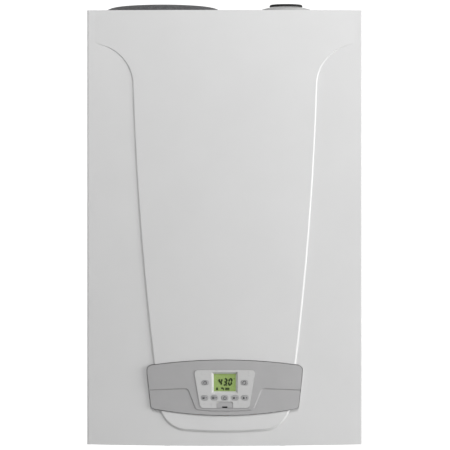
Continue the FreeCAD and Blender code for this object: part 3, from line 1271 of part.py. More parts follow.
node("expansion_vessel", cut("expansion_vessel",
                             fuse("vessel_blank", vessel_can, vessel_pad, vessel_stub), vessel_room,
                             vessel_port, vessel_way))
vessel_pipe_foot = pump_high - s.socket_deep
node("vessel_pipe", tube("vessel_pipe", s.vessel_stub, s.vessel_stub - s.tail_wall,
                         (flue_x, vessel_y, vessel_pipe_foot),
                         vessel_foot + s.socket_deep - vessel_pipe_foot))

# Pipes between the exchanger, the flow group and the pump
node("exchanger_flow_pipe", pipe("exchanger_flow_pipe", s.pipe_radius, s.bend,
                                 [(s.flow_stub_x, drum_back, drum_z), (s.flow_stub_x, -s.flow_y, drum_z),
                                  (flow_x, -s.flow_y, drum_z), (flow_x, -s.flow_y, group_mid_z),
                                  (flow_port_x, -s.flow_y, group_mid_z),
                                  (flow_port_x, -s.group_back - s.socket_deep, group_mid_z)]))
return_low = pump_high - s.socket_deep
node("exchanger_return_pipe", tube("exchanger_return_pipe", s.pipe_radius, s.pipe_radius - s.burner_wall,
                                   (s.return_x, -s.return_y, return_low),
                                   return_stub_z + s.socket_deep - return_low))

# Condensate: a hose from the drum, a trap, and the drain under the tray
trap_low, trap_high = below(s.trap_low), below(s.trap_high)
drain_y = -s.drain_y
trap_can = rod("trap_can", s.trap_radius, (s.drain_x, drain_y, trap_low), trap_high - trap_low)
trap_outlet = rod("trap_outlet", s.trap_outlet, (s.drain_x, drain_y, foot - s.drain_out),
                  trap_low - foot + s.drain_out)
trap_nut = nut("trap_nut", s.nut_radius, (s.drain_x, drain_y, nut_low), s.nut_thick)
trap_seat = rod("trap_seat", s.drain_radius + s.fit_gap, (s.drain_x, drain_y, trap_high - s.socket_deep),
                s.socket_deep)
drain_bore = rod("drain_bore", s.trap_outlet - s.tail_wall, (s.drain_x, drain_y, foot - s.drain_out),
                 s.drain_out)
trap_lid = rod("trap_lid", s.trap_radius + s.trap_lid, (s.drain_x, drain_y, trap_high - s.trap_lid_high),
               s.trap_lid_high)
node("condensate_trap", cut("condensate_trap",
                            fuse("trap_blank", trap_can, trap_lid, trap_outlet, trap_nut),
                            trap_seat, drain_bore))
hose_low = trap_high - s.socket_deep
node("condensate_hose", tube("condensate_hose", s.drain_radius, s.drain_radius - s.tail_wall,
                             (s.drain_x, drain_y, hose_low),
                             drain_stub_z + s.socket_deep - hose_low))

# Cable gland in the bottom tray
gland_y = -s.gland_y
gland_foot = foot - s.gland_long / 2
gland = fuse("gland_blank", rod("gland_stem", s.gland_radius, (s.gland_x, gland_y, gland_foot),
                                s.gland_long),
             nut("gland_head", s.gland_nut, (s.gland_x, gland_y, foot - s.gland_nut_thick),
                 s.gland_nut_thick))
node("cable_gland", cut("cable_gland", gland,
                        rod("gland_way", s.gland_bore, (s.gland_x, gland_y, gland_foot), s.gland_long)))

doc.recompute()

for thing in doc.Objects:
    if "Invalid" in thing.State or "Error" in thing.State:
        raise RuntimeError("%s did not compute" % thing.Label)
for piece in nodes:
    if piece.Shape.isNull() or not piece.Shape.isValid():
        raise RuntimeError("%s is not a valid shape" % piece.Label)

os.makedirs("parts", exist_ok=True)
for piece in nodes:
    piece.Shape.exportStep("parts/%s.step" % piece.Label)
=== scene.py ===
import json
import math
import bmesh
import bpy
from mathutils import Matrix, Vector


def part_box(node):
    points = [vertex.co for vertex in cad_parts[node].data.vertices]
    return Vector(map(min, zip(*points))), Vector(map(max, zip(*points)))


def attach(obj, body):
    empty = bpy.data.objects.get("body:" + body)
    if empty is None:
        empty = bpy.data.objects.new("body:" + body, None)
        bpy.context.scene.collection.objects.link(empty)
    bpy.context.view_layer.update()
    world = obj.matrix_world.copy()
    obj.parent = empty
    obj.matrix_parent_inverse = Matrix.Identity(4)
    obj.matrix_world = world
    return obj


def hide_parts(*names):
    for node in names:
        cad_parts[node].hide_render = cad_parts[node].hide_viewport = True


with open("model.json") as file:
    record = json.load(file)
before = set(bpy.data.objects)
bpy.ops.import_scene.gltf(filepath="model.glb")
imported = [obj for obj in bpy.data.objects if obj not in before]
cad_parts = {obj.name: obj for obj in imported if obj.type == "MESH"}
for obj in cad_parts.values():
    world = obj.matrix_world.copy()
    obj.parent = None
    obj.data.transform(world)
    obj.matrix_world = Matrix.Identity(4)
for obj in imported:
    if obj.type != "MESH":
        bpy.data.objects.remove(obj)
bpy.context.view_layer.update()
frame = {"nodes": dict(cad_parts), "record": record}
nodes = frame["nodes"]
print("frame loaded:", len(nodes), "nodes")


# small helpers that every finish below uses
def startFinish(name, metallic=0.0, coat=0.0, coatRough=0.2):
    mat = bpy.data.materials.new(name)
    mat.use_nodes = True
    tree = mat.node_tree
    shader = tree.nodes["Principled BSDF"]
    shader.inputs["Metallic"].default_value = metallic
    shader.inputs["Coat Weight"].default_value = coat
    shader.inputs["Coat Roughness"].default_value = coatRough
    where = tree.nodes.new("ShaderNodeTexCoord")
    return mat, tree, shader, where.outputs["Object"]


def addNoise(tree, where, scale, detail=4.0, rough=0.55, stretch=(1, 1, 1)):
    spread = tree.nodes.new("ShaderNodeMapping")
    spread.inputs["Scale"].default_value = stretch
    tree.links.new(where, spread.inputs["Vector"])
    noise = tree.nodes.new("ShaderNodeTexNoise")
    noise.inputs["Scale"].default_value = scale
    noise.inputs["Detail"].default_value = detail
    noise.inputs["Roughness"].default_value = rough
    tree.links.new(spread.outputs["Vector"], noise.inputs["Vector"])
    return noise.outputs["Fac"]


def addCells(tree, where, scale, feature="F1"):
    cells = tree.nodes.new("ShaderNodeTexVoronoi")
    cells.feature = feature
    cells.inputs["Scale"].default_value = scale
    tree.links.new(where, cells.inputs["Vector"])
    return cells


def cellTones(tree, cells):  # single channels of each cell's random colour, so that a tone has no hue
    split = tree.nodes.new("ShaderNodeSeparateColor")
    tree.links.new(cells.outputs["Color"], split.inputs["Color"])
    return split.outputs


def addRamp(tree, fac, stops):
    ramp = tree.nodes.new("ShaderNodeValToRGB")
    while len(ramp.color_ramp.elements) < len(stops):
        ramp.color_ramp.elements.new(0.5)
    for element, (spot, colour) in zip(ramp.color_ramp.elements, stops):
        element.position = spot
        element.color = (*colour, 1)
    tree.links.new(fac, ramp.inputs["Fac"])
    return ramp.outputs["Color"]


def addRange(tree, fac, low, high):
    span = tree.nodes.new("ShaderNodeMapRange")
    span.inputs["To Min"].default_value = low
    span.inputs["To Max"].default_value = high
    tree.links.new(fac, span.inputs["Value"])
    return span.outputs["Result"]


def addBump(tree, shader, height, strength, distance, edge=0.0):
    bump = tree.nodes.new("ShaderNodeBump")
    bump.inputs["Strength"].default_value = strength
    bump.inputs["Distance"].default_value = distance
    tree.links.new(height, bump.inputs["Height"])
    if edge > 0:  # softened edges under the grain
        soft = tree.nodes.new("ShaderNodeBevel")
        soft.samples = 4
        soft.inputs["Radius"].default_value = edge
        tree.links.new(soft.outputs["Normal"], bump.inputs["Normal"])
    tree.links.new(bump.outputs["Normal"], shader.inputs["Normal"])


def shade(colour, factor):
    return tuple(min(1.0, c * factor) for c in colour)


# paint, moulded plastic and rubber share one recipe: mottled colour, uneven gloss, grain
paint = {"coatRough": 0.25, "darkStop": 0.3, "paleStop": 0.7, "glossScale": 2.3,
         "smoother": 0.04, "rougher": 0.05}


def coloured(name, look):
    mat, tree, shader, where = startFinish(name, coat=look.get("coat", 0.0), coatRough=paint["coatRough"])
    mottle = addNoise(tree, where, look["mottle"], detail=3.0)
    tone = addRamp(tree, mottle, [(paint["darkStop"], shade(look["colour"], 1 - look["vary"])),
                                  (paint["paleStop"], shade(look["colour"], 1 + look["vary"]))])
    tree.links.new(tone, shader.inputs["Base Color"])
    gloss = addNoise(tree, where, look["mottle"] * paint["glossScale"], detail=2.0)
    rough = addRange(tree, gloss, look["rough"] - paint["smoother"], look["rough"] + paint["rougher"])
    tree.links.new(rough, shader.inputs["Roughness"])
    grain = addNoise(tree, where, look["grain"], detail=2.0, rough=0.5)
    addBump(tree, shader, grain, look["depth"], look["distance"], look.get("edge", 0.0))
    return mat


# bare and plated metal: brushed or cast grain with patches of tarnish
metal = {"dullStop": 0.32, "brightStop": 0.62, "duller": 0.1, "brighter": 0.06}


def metalled(name, look):
    mat, tree, shader, where = startFinish(name, metallic=1.0)
    patch = addNoise(tree, where, look["patch"], detail=5.0, rough=0.6)
    tone = addRamp(tree, patch, [(metal["dullStop"], look["dull"]), (metal["brightStop"], look["bright"])])
    tree.links.new(tone, shader.inputs["Base Color"])
    rough = addRange(tree, patch, look["rough"] + metal["duller"], look["rough"] - metal["brighter"])
    tree.links.new(rough, shader.inputs["Roughness"])
    stretch = look.get("stretch", (1, 1, 1))
    grain = addNoise(tree, where, look["grain"], detail=3.0, rough=0.5, stretch=stretch)
    addBump(tree, shader, grain, look["depth"], look["distance"], look.get("edge", 0.0))
    return mat


# zinc-coated sheet with its crystal spangle
zinc = {"metallic": 0.85, "dullStop": 0.1, "brightStop": 0.9, "smoother": 0.08, "rougher": 0.1,
        "grainScale": 6}


def spangled(name, look):
    mat, tree, shader, where = startFinish(name, metallic=zinc["metallic"])
    tones = cellTones(tree, addCells(tree, where, look["cell"]))
    tone = addRamp(tree, tones["Red"], [(zinc["dullStop"], look["dull"]),
                                        (zinc["brightStop"], look["bright"])])
    tree.links.new(tone, shader.inputs["Base Color"])
    rough = addRange(tree, tones["Green"], look["rough"] - zinc["smoother"], look["rough"] + zinc["rougher"])
    tree.links.new(rough, shader.inputs["Roughness"])
    grain = addNoise(tree, where, look["cell"] * zinc["grainScale"])
    addBump(tree, shader, grain, strength=0.15, distance=0.00004, edge=0.0006)
    return mat


# bead foam: packed grains of uneven tone with dark seams
foam = {"seamStop": 0.02, "beadStop": 0.16, "seamShade": 0.55, "unevenness": 0.35, "dustScale": 60}


def beaded(name, look):
    mat, tree, shader, where = startFinish(name)
    beads = addCells(tree, where, look["bead"])
    seams = addCells(tree, where, look["bead"], "DISTANCE_TO_EDGE")
    stops = [(foam["seamStop"], shade(look["colour"], foam["seamShade"])), (foam["beadStop"], look["colour"])]
    tone = addRamp(tree, seams.outputs["Distance"], stops)
    light = tree.nodes.new("ShaderNodeMix")
    light.data_type = "RGBA"
    light.blend_type = "MULTIPLY"
    light.inputs["Factor"].default_value = foam["unevenness"]
    tree.links.new(tone, light.inputs["A"])
    tree.links.new(cellTones(tree, beads)["Red"], light.inputs["B"])
    tree.links.new(light.outputs["Result"], shader.inputs["Base Color"])
    dust = addNoise(tree, where, foam["dustScale"])
    tree.links.new(addRange(tree, dust, low=0.72, high=0.9), shader.inputs["Roughness"])
    addBump(tree, shader, beads.outputs["Distance"], strength=0.5, distance=-0.0006)
    return mat


# circuit board: solder mask over crossing tracks
board = {"coat": 0.3, "trackShare": 0.03, "darkerMask": 0.8}


def tracked(name, look):
    mat, tree, shader, where = startFinish(name, coat=board["coat"])
    bricks = tree.nodes.new("ShaderNodeTexBrick")
    bricks.inputs["Scale"].default_value = look["pitch"]
    bricks.inputs["Mortar Size"].default_value = board["trackShare"]
    bricks.inputs["Color1"].default_value = (*look["mask"], 1)
    bricks.inputs["Color2"].default_value = (*shade(look["mask"], board["darkerMask"]), 1)
    bricks.inputs["Mortar"].default_value = (*look["track"], 1)
    turn = tree.nodes.new("ShaderNodeMapping")
    turn.inputs["Rotation"].default_value = (math.radians(90), 0, 0)
    tree.links.new(where, turn.inputs["Vector"])
    tree.links.new(turn.outputs["Vector"], bricks.inputs["Vector"])
    tree.links.new(bricks.outputs["Color"], shader.inputs["Base Color"])
    tree.links.new(addRange(tree, bricks.outputs["Fac"], low=0.4, high=0.28), shader.inputs["Roughness"])
    addBump(tree, shader, bricks.outputs["Fac"], strength=0.3, distance=0.00005)
    return mat


# liquid-crystal panel: lit green with a faint cell grid and an uneven glow
lit = {"darkStop": 0.3, "paleStop": 0.7, "darker": 0.96, "paler": 1.04, "dustScale": 900}


def backlit(name, look):
    mat, tree, shader, where = startFinish(name)
    glow = addNoise(tree, where, look["cloud"], detail=2.0)
    tone = addRamp(tree, glow, [(lit["darkStop"], shade(look["colour"], lit["darker"])),
                                (lit["paleStop"], shade(look["colour"], lit["paler"]))])
    tree.links.new(tone, shader.inputs["Base Color"])
    tree.links.new(tone, shader.inputs["Emission Color"])
    shader.inputs["Emission Strength"].default_value = look["glow"]
    dust = addNoise(tree, where, lit["dustScale"])
    tree.links.new(addRange(tree, dust, low=0.3, high=0.42), shader.inputs["Roughness"])
    cells = addCells(tree, where, look["cell"])
    addBump(tree, shader, cells.outputs["Distance"], strength=0.1, distance=0.00002)
    return mat


# clear window: thin, with faint wipe marks in its gloss
wiped = {"darkStop": 0.3, "paleStop": 0.7, "darker": 0.95, "rougher": 0.08, "stretch": (1, 1, 6)}


def clearPane(name, look):
    mat, tree, shader, where = startFinish(name)
    haze = addNoise(tree, where, look["haze"], detail=4.0, rough=0.6, stretch=wiped["stretch"])
    tone = addRamp(tree, haze, [(wiped["darkStop"], shade(look["colour"], wiped["darker"])),
                                (wiped["paleStop"], look["colour"])])
    tree.links.new(tone, shader.inputs["Base Color"])
    rough = addRange(tree, haze, look["rough"], look["rough"] + wiped["rougher"])
    tree.links.new(rough, shader.inputs["Roughness"])
    shader.inputs["Alpha"].default_value = look["alpha"]
    return mat


# one finish per material slot of the record
slotLooks = {
    "white_enamel": (coloured, {
        "colour": (0.735, 0.735, 0.735), "vary": 0.012, "mottle": 9, "rough": 0.4, "coat": 0.12,
        "grain": 620, "depth": 0.12, "distance": 0.00003, "edge": 0.0015}),
    "galvanised": (spangled, {
        "cell": 130, "dull": (0.45, 0.46, 0.47), "bright": (0.57, 0.58, 0.59), "rough": 0.42}),
    "zinc_screws": (metalled, {
        "patch": 14, "dull": (0.5, 0.49, 0.45), "bright": (0.72, 0.71, 0.67), "rough": 0.3,
        "grain": 900, "depth": 0.2, "distance": 0.00003, "edge": 0.0005}),
    "fascia_grey": (coloured, {
        "colour": (0.455, 0.452, 0.456), "vary": 0.02, "mottle": 22, "rough": 0.46,
        "grain": 1900, "depth": 0.18, "distance": 0.00004, "edge": 0.0005}),
    "plate_silver": (coloured, {
        "colour": (0.64, 0.64, 0.638), "vary": 0.008, "mottle": 40, "rough": 0.28, "coat": 0.5,
        "grain": 4200, "depth": 0.15, "distance": 0.00002, "edge": 0.0008}),
    "button_grey": (coloured, {
        "colour": (0.42, 0.42, 0.425), "vary": 0.03, "mottle": 90, "rough": 0.5,
        "grain": 3000, "depth": 0.2, "distance": 0.00003, "edge": 0.0009}),
    "clear_window": (clearPane, {"colour": (0.95, 0.98, 0.95), "haze": 45, "rough": 0.06, "alpha": 0.03}),
    "display_green": (backlit, {"colour": (0.165, 0.235, 0.062), "cloud": 30, "cell": 2600, "glow": 0.8}),
    "board_green": (tracked, {"mask": (0.02, 0.12, 0.05), "track": (0.05, 0.22, 0.1), "pitch": 90}),
    "box_black": (coloured, {
        "colour": (0.02, 0.02, 0.022), "vary": 0.15, "mottle": 18, "rough": 0.55,
        "grain": 1500, "depth": 0.25, "distance": 0.00005, "edge": 0.001}),
    "foam_grey": (beaded, {"colour": (0.17, 0.17, 0.175), "bead": 230}),
    "stainless": (metalled, {
        "patch": 8, "dull": (0.5, 0.5, 0.5), "bright": (0.66, 0.66, 0.65), "rough": 0.3,
        "grain": 240, "stretch": (1, 1, 14), "depth": 0.12, "distance": 0.00003}),
    "flue_polymer": (coloured, {
        "colour": (0.55, 0.55, 0.545), "vary": 0.02, "mottle": 30, "rough": 0.42,
        "grain": 1200, "depth": 0.12, "distance": 0.00003, "edge": 0.001}),
    "seal_rubber": (coloured, {
        "colour": (0.012, 0.012, 0.012), "vary": 0.2, "mottle": 60, "rough": 0.62,
        "grain": 1400, "depth": 0.3, "distance": 0.00005, "edge": 0.0008}),
    "drum_composite": (coloured, {
        "colour": (0.045, 0.045, 0.05), "vary": 0.18, "mottle": 26, "rough": 0.5,
        "grain": 700, "depth": 0.3, "distance": 0.00008, "edge": 0.0015}),
    "cast_aluminium": (metalled, {
        "patch": 30, "dull": (0.42, 0.42, 0.42), "bright": (0.6, 0.6, 0.6), "rough": 0.5,
        "grain": 480, "depth": 0.45, "distance": 0.0001, "edge": 0.0012}),
    "wheel_plastic": (coloured, {
        "colour": (0.09, 0.09, 0.1), "vary": 0.1, "mottle": 50, "rough": 0.45,
        "grain": 1100, "depth": 0.15, "distance": 0.00003}),
    "ceramic": (coloured, {
        "colour": (0.78, 0.74, 0.66), "vary": 0.04, "mottle": 120, "rough": 0.2, "coat": 0.4,
        "grain": 500, "depth": 0.1, "distance": 0.00002}),
    "copper": (metalled, {
        "patch": 26, "dull": (0.36, 0.16, 0.09), "bright": (0.72, 0.36, 0.23), "rough": 0.3,
        "grain": 300, "stretch": (1, 1, 6), "depth": 0.12, "distance": 0.00003}),
    "brass": (metalled, {
        "patch": 22, "dull": (0.42, 0.29, 0.11), "bright": (0.7, 0.52, 0.24), "rough": 0.34,
        "grain": 800, "depth": 0.2, "distance": 0.00004, "edge": 0.0008}),
    "red_cap": (coloured, {
        "colour": (0.5, 0.03, 0.025), "vary": 0.08, "mottle": 60, "rough": 0.42,
        "grain": 1000, "depth": 0.15, "distance": 0.00003, "edge": 0.001}),
    "vessel_red": (coloured, {
        "colour": (0.42, 0.035, 0.03), "vary": 0.06, "mottle": 18, "rough": 0.36, "coat": 0.2,
        "grain": 520, "depth": 0.25, "distance": 0.00005}),
}
finishes = {}
for slotName, (recipe, look) in slotLooks.items():
    finishes[slotName] = recipe(slotName, look)
slotOf = {row["node"]: row["material_slot"] for row in frame["record"]["subparts"]}
for nodeName, slotName in slotOf.items():
    skin = nodes[nodeName].data
    skin.materials.clear()
    skin.materials.append(finishes[slotName])
print("finishes set:", len(finishes))


# turns a mesh under work into a piece that rides on a body
def finishPiece(name, bm, finish, body):
    bmesh.ops.recalc_face_normals(bm, faces=bm.faces)
    mesh = bpy.data.meshes.new(name)
    bm.to_mesh(mesh)
    bm.free()
    piece = bpy.data.objects.new(name, mesh)
    bpy.context.scene.collection.objects.link(piece)
    mesh.materials.append(finish)
    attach(piece, body)
    return piece


def thicken(bm, points, lift):  # a flat outline drawn out into a thin plate
    near = [bm.verts.new(point) for point in points]
    far = [bm.verts.new(vert.co + Vector(lift)) for vert in near]
    bm.faces.new(near)
    bm.faces.new(far)
    for k in range(len(near)):
        bm.faces.new((near[k - 1], near[k], far[k], far[k - 1]))


# printed marks: thin inlays cut from flat outlines in the front plane
def inlay(name, outlines, frontY, thick, finish, body):
    bm = bmesh.new()
    for outline in outlines:
        thicken(bm, [(x, frontY, z) for x, z in outline], (0, -thick, 0))
    return finishPiece(name, bm, finish, body)


def bar(x, z, wide, tall):
    return [(x - wide / 2, z - tall / 2), (x + wide / 2, z - tall / 2),
            (x + wide / 2, z + tall / 2), (x - wide / 2, z + tall / 2)]


def slab(start, end, thick):  # a straight stroke with bevelled tips
    along = Vector((end[0] - start[0], end[1] - start[1]))
    long = along.length
    along.normalize()
    side = Vector((-along.y, along.x)) * (thick / 2)
    tip = along * min(thick / 2, long / 3)
    a, b = Vector(start), Vector(end)
    points = [a, a + tip - side, b - tip - side, b, b - tip + side, a + tip + side]
    return [(p.x, p.y) for p in points]


def ringPieces(x, z, radius, thick, start, end, steps):  # an arc as short blocks, each a simple outline
    blocks = []
    for i in range(steps):
        turns = [math.radians(start + (end - start) * (i + k) / steps) for k in (0, 1)]
        inner = [(x + (radius - thick) * math.cos(t), z + (radius - thick) * math.sin(t)) for t in turns]
        outer = [(x + radius * math.cos(t), z + radius * math.sin(t)) for t in turns]
        blocks.append([inner[0], outer[0], outer[1], inner[1]])
    return blocks


drop = {"sides": 16, "pinch": 0.55, "headPower": 0.8, "headStretch": 1.5, "tallShare": 2.5}


def dropShape(x, z, wide, tall):  # a drop or flame: round foot, pointed head
    points = []
    for i in range(drop["sides"]):
        turn = math.radians(360 * i / drop["sides"])
        rise = math.sin(turn)
        pinch = 1 - drop["pinch"] * max(rise, 0)
        height = rise if rise < 0 else rise ** drop["headPower"] * drop["headStretch"]
        points.append((x + math.cos(turn) * wide / 2 * pinch, z + height * tall / drop["tallShare"]))
    return points


# window: the same pane, a hair clear of the display behind it so that the two faces don't share a plane
pane = {"airGap": 0.0001}
paneLow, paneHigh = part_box("display_lens")
paneBack = paneHigh.y - pane["airGap"]
paneOutline = [(paneLow.x, paneLow.z), (paneHigh.x, paneLow.z),
               (paneHigh.x, paneHigh.z), (paneLow.x, paneHigh.z)]
paneGlass = inlay("window_pane", [paneOutline], paneBack, paneBack - paneLow.y,
                  finishes["clear_window"], "chassis")
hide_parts("display_lens")
print("window glazed")

# display: the reading, on the window's front
reading = {
    "text": "43.0", "left": -0.0158, "low": -0.7588, "tall": 0.0170, "wide": 0.0092, "pitch": 0.0109,
    "stroke": 0.0036, "lean": 0.16, "thick": 0.00004, "dotShift": (-0.0017, 0.0008), "dot": 0.002,
}
segmentEnds = {
    "a": ((0, 1), (1, 1)), "b": ((1, 1), (1, 0.5)), "c": ((1, 0.5), (1, 0)), "d": ((0, 0), (1, 0)),
    "e": ((0, 0.5), (0, 0)), "f": ((0, 1), (0, 0.5)), "g": ((0, 0.5), (1, 0.5)),
}
digitSegments = {"0": "abcdef", "3": "abcdg", "4": "bcfg"}
displayInk = coloured("display_ink", {
    "colour": (0.010, 0.022, 0.002), "vary": 0.15, "mottle": 300, "rough": 0.5,
    "grain": 2000, "depth": 0.1, "distance": 0.00001})
strokes = []
penX = reading["left"]
for sign in reading["text"]:
    if sign == ".":
        dotX, dotZ = penX + reading["dotShift"][0], reading["low"] + reading["dotShift"][1]
        strokes.append(bar(dotX, dotZ, reading["dot"], reading["dot"]))
        continue
    inset = reading["stroke"] / 2
    for segment in digitSegments[sign]:
        spots = []
        for u, v in segmentEnds[segment]:
            z = reading["low"] + inset + v * (reading["tall"] - 2 * inset)
            x = penX + inset + u * (reading["wide"] - 2 * inset) + (z - reading["low"]) * reading["lean"]
            spots.append((x, z))
        strokes.append(slab(spots[0], spots[1], reading["stroke"]))
    penX += reading["pitch"]
inlay("display_reading", strokes, paneLow.y, reading["thick"], displayInk, "chassis")

# display: the degree ring and the row of small signs; each is x, rise above the row, wide, tall
smallSigns = {
    "rowZ": -0.7655, "degree": (0.0205, -0.7436, 0.0013), "degreeLine": 0.0006, "degreeSides": 12,
    "drop": (-0.0168, -0.0002, 0.0048, 0.0064),
    "bars": [(-0.0050, 0.0009, 0.0062, 0.0022), (-0.0058, 0.0030, 0.0036, 0.0014),
             (-0.0028, -0.0016, 0.0018, 0.0028)],  # tap: body, grip, spout
    "ribs": 5, "ribPitch": 0.0019, "rib": (0.0018, -0.0010, 0.0014, 0.0040),
    "rail": (0.0056, 0.0018, 0.0090, 0.0016),
}


def onRow(draw, x, rise, wide, tall):
    return draw(x, smallSigns["rowZ"] + rise, wide, tall)


signs = ringPieces(*smallSigns["degree"], smallSigns["degreeLine"], 0, 360, smallSigns["degreeSides"])
signs.append(onRow(dropShape, *smallSigns["drop"]))
signs += [onRow(bar, *tapBar) for tapBar in smallSigns["bars"]]
ribX, *ribRest = smallSigns["rib"]
for k in range(smallSigns["ribs"]):  # radiator
    signs.append(onRow(bar, ribX + k * smallSigns["ribPitch"], *ribRest))
signs.append(onRow(bar, *smallSigns["rail"]))
inlay("display_signs", signs, paneLow.y, reading["thick"], displayInk, "chassis")
print("display drawn")

# buttons: plain symbols printed on the caps
mark = {
    "thick": 0.00003, "line": 0.0012, "strokeLong": 0.0033, "strokeWide": 0.0011,
    "rib": (0.0011, 0.0050), "ribPitch": 0.0017, "tie": (0.0006, 0.0010), "tieReach": 0.00085,
    "tieDrop": 0.0015, "ribsLeft": 0.0023, "besideRibs": 0.0036,
    "drop": (0.0042, 0.0050), "dropLeft": 0.0026, "dropSink": 0.0006, "besideDrop": 0.0034,
    "clockRadius": 0.0039, "clockSides": 24, "longHand": (0.0009, 0.0024), "longRise": 0.0010,
    "shortHand": (0.0013, 0.0009), "shortRight": 0.0011, "shortSink": 0.0004,
    "returnRadius": 0.0040, "returnArc": (-120, 172, 20), "headLeft": 0.0054, "headRight": 0.0016,
    "headMiddle": 0.0035, "headRise": 0.0001, "headSink": 0.0024,
    "powerRadius": 0.0038, "powerArc": (125, 415, 22), "powerSink": 0.0004, "powerBar": (0.0013, 0.0040),
    "powerRise": 0.0021,
}
markLook = {"colour": (0.02, 0.02, 0.022), "vary": 0.1, "mottle": 200, "rough": 0.55,
            "grain": 2500, "depth": 0.1, "distance": 0.00001}
markInk = coloured("button_mark", markLook)


def radiatorSign(x, z):
    ribs = [bar(x + k * mark["ribPitch"], z, *mark["rib"]) for k in (-1, 0, 1)]
    return ribs + [bar(x + k * mark["tieReach"], z - mark["tieDrop"], *mark["tie"]) for k in (-1, 1)]


def minusSign(x, z):
    return [bar(x, z, mark["strokeLong"], mark["strokeWide"])]


def plusSign(x, z):
    wide = mark["strokeWide"]
    return minusSign(x, z) + [bar(x, z + k * wide, wide, wide) for k in (-1, 1)]


def ribsAnd(drawSign):
    return lambda x, z: radiatorSign(x - mark["ribsLeft"], z) + drawSign(x + mark["besideRibs"], z)


def dropAnd(drawSign):
    return lambda x, z: ([dropShape(x - mark["dropLeft"], z - mark["dropSink"], *mark["drop"])]
                         + drawSign(x + mark["besideDrop"], z))


def clockSign(x, z):
    hands = [bar(x, z + mark["longRise"], *mark["longHand"]),
             bar(x + mark["shortRight"], z - mark["shortSink"], *mark["shortHand"])]
    return ringPieces(x, z, mark["clockRadius"], mark["line"], 0, 360, mark["clockSides"]) + hands


def returnSign(x, z):
    head = [(x - mark["headLeft"], z + mark["headRise"]), (x - mark["headRight"], z + mark["headRise"]),
            (x - mark["headMiddle"], z - mark["headSink"])]
    return ringPieces(x, z, mark["returnRadius"], mark["line"], *mark["returnArc"]) + [head]


def powerSign(x, z):
    ring = ringPieces(x, z - mark["powerSink"], mark["powerRadius"], mark["line"], *mark["powerArc"])
    return ring + [bar(x, z + mark["powerRise"], *mark["powerBar"])]


buttonMarks = {
    "button_upper_left": clockSign,
    "button_upper_right": returnSign,
    "button_lower_1": ribsAnd(minusSign),
    "button_lower_2": ribsAnd(plusSign),
    "button_lower_3": powerSign,
    "button_lower_4": dropAnd(minusSign),
    "button_lower_5": dropAnd(plusSign),
}
for buttonName, drawMark in buttonMarks.items():
    low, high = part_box(buttonName)
    middle = (low + high) / 2
    inlay(buttonName + "_mark", drawMark(middle.x, middle.z), low.y, mark["thick"],
          markInk, buttonName)
print("buttons marked")

# flap: painted shade, a black inlay behind it that shows through the finger notch as the shade in the bay
notchShade = {"wide": 0.0124, "tall": 0.0040, "thick": 0.00004}
flapLow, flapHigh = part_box("service_flap")
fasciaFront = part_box("control_fascia")[0].y
# painted shade: a near-black ink, also used for the screws' cross recesses
recessShadeInk = coloured("service_socket", {**markLook, "colour": (0.004, 0.004, 0.004), "rough": 0.8})
notchShadeFace = bar((flapLow.x + flapHigh.x) / 2, flapLow.z + notchShade["tall"] / 2, notchShade["wide"], notchShade["tall"])
inlay("service_socket", [notchShadeFace], fasciaFront, notchShade["thick"], recessShadeInk, "chassis")
print("socket set")

# pipe tails: a cut thread on each union end, sized by the record's mounts
thread = {"pitch": 0.0018, "crest": 0.0006, "root": 0.0001, "flank": 0.42, "sides": 36, "clear": 0.0012}
tailNodes = {"heating_flow": "flow_group", "hot_water": "hot_water_pipe", "gas": "gas_pipe",
             "cold_water": "cold_water_pipe", "heating_return": "pump_body"}
ridge = [(-thread["root"], -thread["flank"]), (thread["crest"], 0), (-thread["root"], thread["flank"])]


def helix(name, x, y, low, high, radius, slotName):  # one ridge wound round the tail
    bm = bmesh.new()
    count = int((high - low) / thread["pitch"] * thread["sides"])
    rows = []
    for i in range(count + 1):
        turn = 2 * math.pi * i / thread["sides"]
        middle = low + thread["pitch"] * i / thread["sides"]
        row = []
        for reach, lift in ridge:
            r = radius + reach
            z = middle + lift * thread["pitch"]
            row.append(bm.verts.new((x + r * math.cos(turn), y + r * math.sin(turn), z)))
        rows.append(row)
    for near, far in zip(rows, rows[1:]):
        for k in range(3):
            bm.faces.new((near[k], near[(k + 1) % 3], far[(k + 1) % 3], far[k]))
    bm.faces.new(rows[0])
    bm.faces.new(rows[-1][::-1])
    finishPiece(name, bm, finishes[slotName], "chassis")


for mount in frame["record"]["mounts"]:
    if mount["name"] in tailNodes:
        x, y, z = mount["pos_m"]
        reach = mount["dims"]["length_mm"] / 2000 - thread["clear"]  # half the length, in metres
        helix(mount["name"] + "_thread", x, y, z - reach, z + reach, mount["dims"]["r_mm"] / 1000,
              slotOf[tailNodes[mount["name"]]])
print("tails threaded")

# sheet-metal screws: pan heads along the rear edges and under the cover, each cross recess drawn as a thin
# black inlay of painted shade
screw = {"radius": 0.0042, "rise": 0.0021, "flat": 0.0024, "cross": 0.0040, "slit": 0.0009, "inset": 0.0085,
         "levels": (-0.84, -0.56, -0.25, 0.03), "topPlaces": (-0.27, 0.0, 0.27), "sides": 28, "curve": 5,
         "recessThick": 0.00004}
caseLow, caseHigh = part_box("left_side_panel")[0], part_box("right_side_panel")[1]


def facing(out):  # turns +Z to the way a head faces
    return Vector(out).to_track_quat("Z", "Y").to_matrix()


